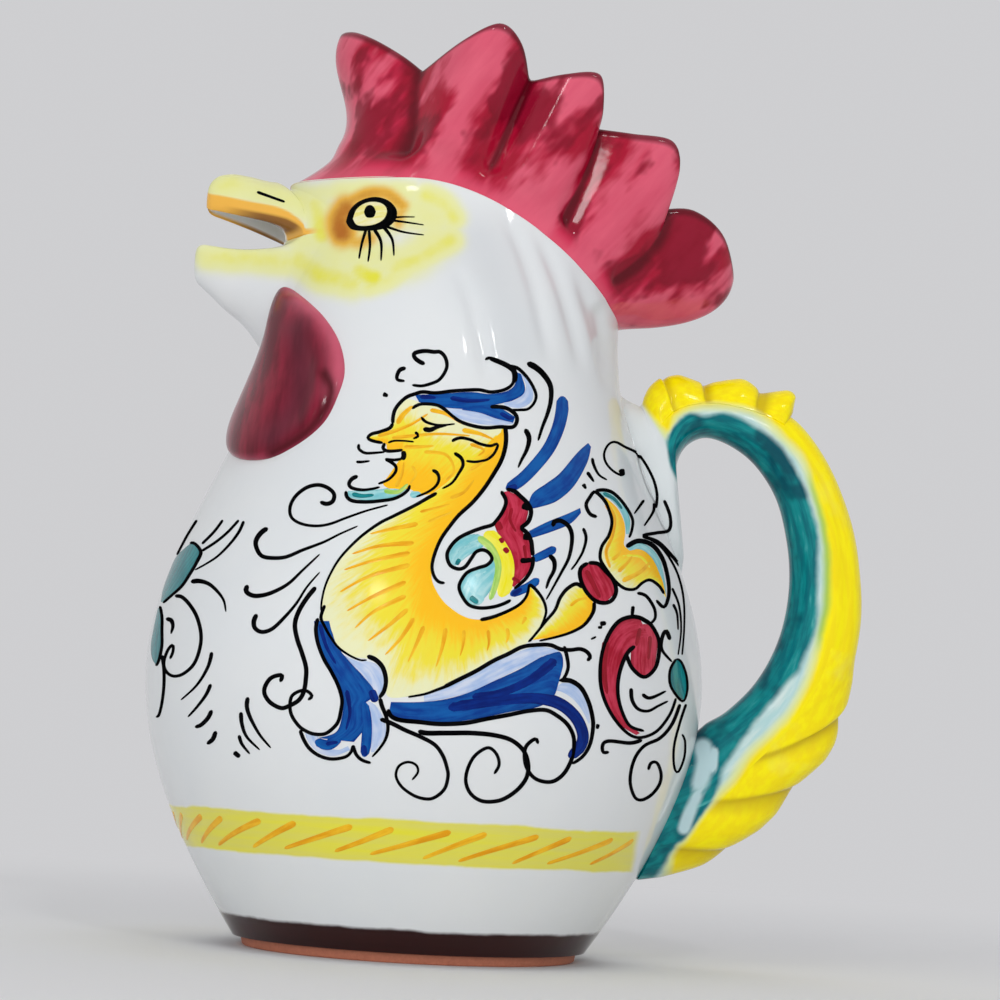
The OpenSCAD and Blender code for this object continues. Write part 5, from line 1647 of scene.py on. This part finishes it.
# %% Green, yellow and clay
def handle_finish():
    """Teal inside, a pale band, yellow outside with painted shade in its valleys, and white where the upper
    root meets the neck.
    """
    pot = Finish("handle_green_and_yellow")
    at = pot.place()
    drift = (pot.cloud(at, 110) - 0.5) * 9
    wave = pot.cloud(pot.uv(30, 14), 1, 4)
    blot = pot.cloud(at, 62, roughness=0.65)
    teal = pot.blend(pot.step(wave, 0.38, 0.6), (0, 106, 116), (10, 136, 138))
    teal = pot.blend(pot.step(blot, 0.5, 0.64) * 0.85, teal, (0, 70, 86))
    teal = pot.blend(pot.step(wave, 0.56, 0.7) * pot.step(0.75 - blot, 0.2, 0.4) * 0.6, teal, (96, 186, 184))
    pale = pot.blend(pot.step(wave, 0.35, 0.65), (178, 214, 214), (210, 228, 224))
    green = pot.blend(pot.held("tint"), (226, 230, 150), (166, 200, 84))
    yellow = pot.blend(pot.step(wave, 0.36, 0.62), (255, 238, 0), (250, 226, 6))
    yellow = pot.blend(pot.step(blot, 0.56, 0.74) * 0.25, yellow, (244, 236, 110))
    # Darker olive painted shade in the valleys and folds of the crest and the feathers.
    yellow = pot.blend(pot.held("valley_shade") * 0.7, yellow, (188, 156, 20))
    past = pot.held("past_teal") + drift
    short = pot.held("past_pale") + drift * 0.7 + pot.held("tint") * 5
    colour = pot.blend(pot.step(past, -3, 5), teal, pale)
    colour = pot.blend(pot.step(short, -12, -2) * pot.step(past, -2, 4), colour, green)
    colour = pot.blend(pot.step(short, -4, 4), colour, yellow)
    patch = pot.step(pot.held("patch") * (0.5 + blot), 0.2, 0.8)
    colour = pot.blend(patch * 0.9, colour, (196, 222, 226))
    colour = pot.blend(pot.held("flange"), colour, (220, 226, 227))
    return pot.glaze(colour, 0.1 + 0.08 * pot.cloud(at, 220), pot.cloud(at, 90), 0.25, 0.25)


def clay_finish():
    """Gritty red clay, brown above where the paint of the band ran over it."""
    pot = Finish("bare_red_clay")
    grit = pot.cloud(pot.place(), 700, 4, 0.7)
    colour = pot.blend(grit, (158, 88, 64), (206, 134, 106))
    colour = pot.blend(pot.step(pot.part(2) + grit * 0.5, 2.4, 3.0), colour, (44, 8, 8))
    return pot.surface(colour, 0.6 + 0.3 * grit, grit, 0.1, 0.5)


handle.data.materials.append(handle_finish())
for piece in (crest, feathers):
    piece.data.materials.append(handle.data.materials[0])
foot.data.materials.append(clay_finish())
print("green, yellow and clay are on")

# %% [markdown]
# ## Riding on the frame
# Every piece rides on the pitcher's one body. A form that stands for imported pieces hides them; the
# record's finish that it has is listed beside them, but nothing reads it.

# %% Pieces on the frame
stands_for = {
    body: ("white_glaze", "belly_shell", "neck_shell", "head_shell", "base_floor"),
    foot: ("bare_clay", "foot_ring"), comb: ("crimson_glaze", "comb_collar"),
    upper_beak: ("white_glaze", "upper_beak"), lower_beak: ("white_glaze", "lower_beak"),
    wattle_right: ("crimson_glaze", "wattle_right"), wattle_left: ("crimson_glaze", "wattle_left"),
    handle: ("green_glaze", "handle_loop"), crest: ("yellow_glaze", "handle_crest"),
    feathers: ("yellow_glaze", "tail_feathers")}
for piece, (slot_name, *nodes) in stands_for.items():
    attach(piece, "root")
    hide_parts(*nodes)
for piece in near_paint + far_paint + [stripe_slants]:
    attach(piece, "root")
print(len(stands_for), "forms stand for", len(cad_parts), "nodes")

# %% [markdown]
# ## The studio
# The pitcher stands in a light tent: a pale floor that fades into a plain grey backdrop. The camera and
# the reflections in the glaze see the backdrop at its full strength, which lights nothing by itself.
# What lights the clay is a dimmer sky and four wide lamps that are hidden from the gloss, and two narrow
# lamps give the small bright marks that a glaze shows.

# %% Backdrop and floor
backdrop = (0.62, 0.62, 0.635, 1)
sky, sky_strength = (0.8, 0.81, 0.83, 1), 0.5
floor_white, floor_rough, floor_size = (0.82, 0.82, 0.83, 1), 0.8, 8
fade_start, fade_end = 0.14, 0.6


def seen_share(nodes, links):
    """A socket that is one where a thing is seen, by the camera or mirrored in the glaze."""
    path = nodes.new("ShaderNodeLightPath")
    share = path.outputs["Is Camera Ray"]
    for name in ("Is Glossy Ray", "Is Transmission Ray"):
        either = nodes.new("ShaderNodeMath")
        either.operation = "MAXIMUM"
        links.new(share, either.inputs[0])
        links.new(path.outputs[name], either.inputs[1])
        share = either.outputs[0]
    return share


world = bpy.context.scene.world or bpy.data.worlds.new("studio")
bpy.context.scene.world = world
world.use_nodes = True
nodes, links = world.node_tree.nodes, world.node_tree.links
light = nodes["Background"]
light.inputs["Color"].default_value = sky
light.inputs["Strength"].default_value = sky_strength
seen = nodes.new("ShaderNodeBackground")
seen.inputs["Color"].default_value = backdrop
either = nodes.new("ShaderNodeMixShader")
links.new(seen_share(nodes, links), either.inputs[0])
links.new(light.outputs[0], either.inputs[1])
links.new(seen.outputs[0], either.inputs[2])
links.new(either.outputs[0], nodes["World Output"].inputs["Surface"])

deselect()
bpy.ops.mesh.primitive_plane_add(size=floor_size)
floor = bpy.context.object
floor.name = "studio_floor"
pot = Finish("studio_floor")
pot.join(pot.shader.inputs["Base Color"], floor_white)
pot.join(pot.shader.inputs["Roughness"], floor_rough)
away = pot.node("VectorMath", {"operation": "LENGTH"}, {0: pot.place()}, 1)
fade = pot.step(away, fade_start, fade_end) * Wire(pot, seen_share(pot.tree.nodes, pot.tree.links))
glow = pot.node("Emission", {}, {"Color": backdrop})
both = pot.node("MixShader", {}, {0: fade, 1: Wire(pot, pot.shader.outputs[0]), 2: glow})
pot.join(pot.tree.nodes["Material Output"].inputs["Surface"], both)
floor.data.materials.append(pot.paint)
print("the floor fades out between", fade_start, "and", fade_end, "m")

# %% Lamps
lamps = [("key", (-1.2, -1.8, 1.3), 2.2, 11), ("fill", (1.5, -1.8, 0.4), 1.8, 9),
         ("top", (0.3, 0.9, 1.9), 1.8, 9), ("low", (-0.4, -1.7, 0), 1.2, 15),
         ("strip", (0.5, -1.4, 1.1), 0.15, 2.6), ("sparkle", (-0.5, -1.3, 0.9), 0.12, 0.7)]
wide_lamp, lit_place = 1, Vector((0, 0, 0.12))
for name, place, size, power in lamps:
    deselect()
    bpy.ops.object.light_add(type="AREA", location=place)
    lamp = bpy.context.object
    lamp.name = name + "_lamp"
    lamp.data.size = size
    lamp.data.energy = power
    lamp.visible_glossy = size < wide_lamp
    lamp.rotation_euler = (lit_place - lamp.location).to_track_quat("-Z", "Y").to_euler()
bpy.context.scene.view_settings.view_transform = "Standard"
print(len(lamps), "lamps")
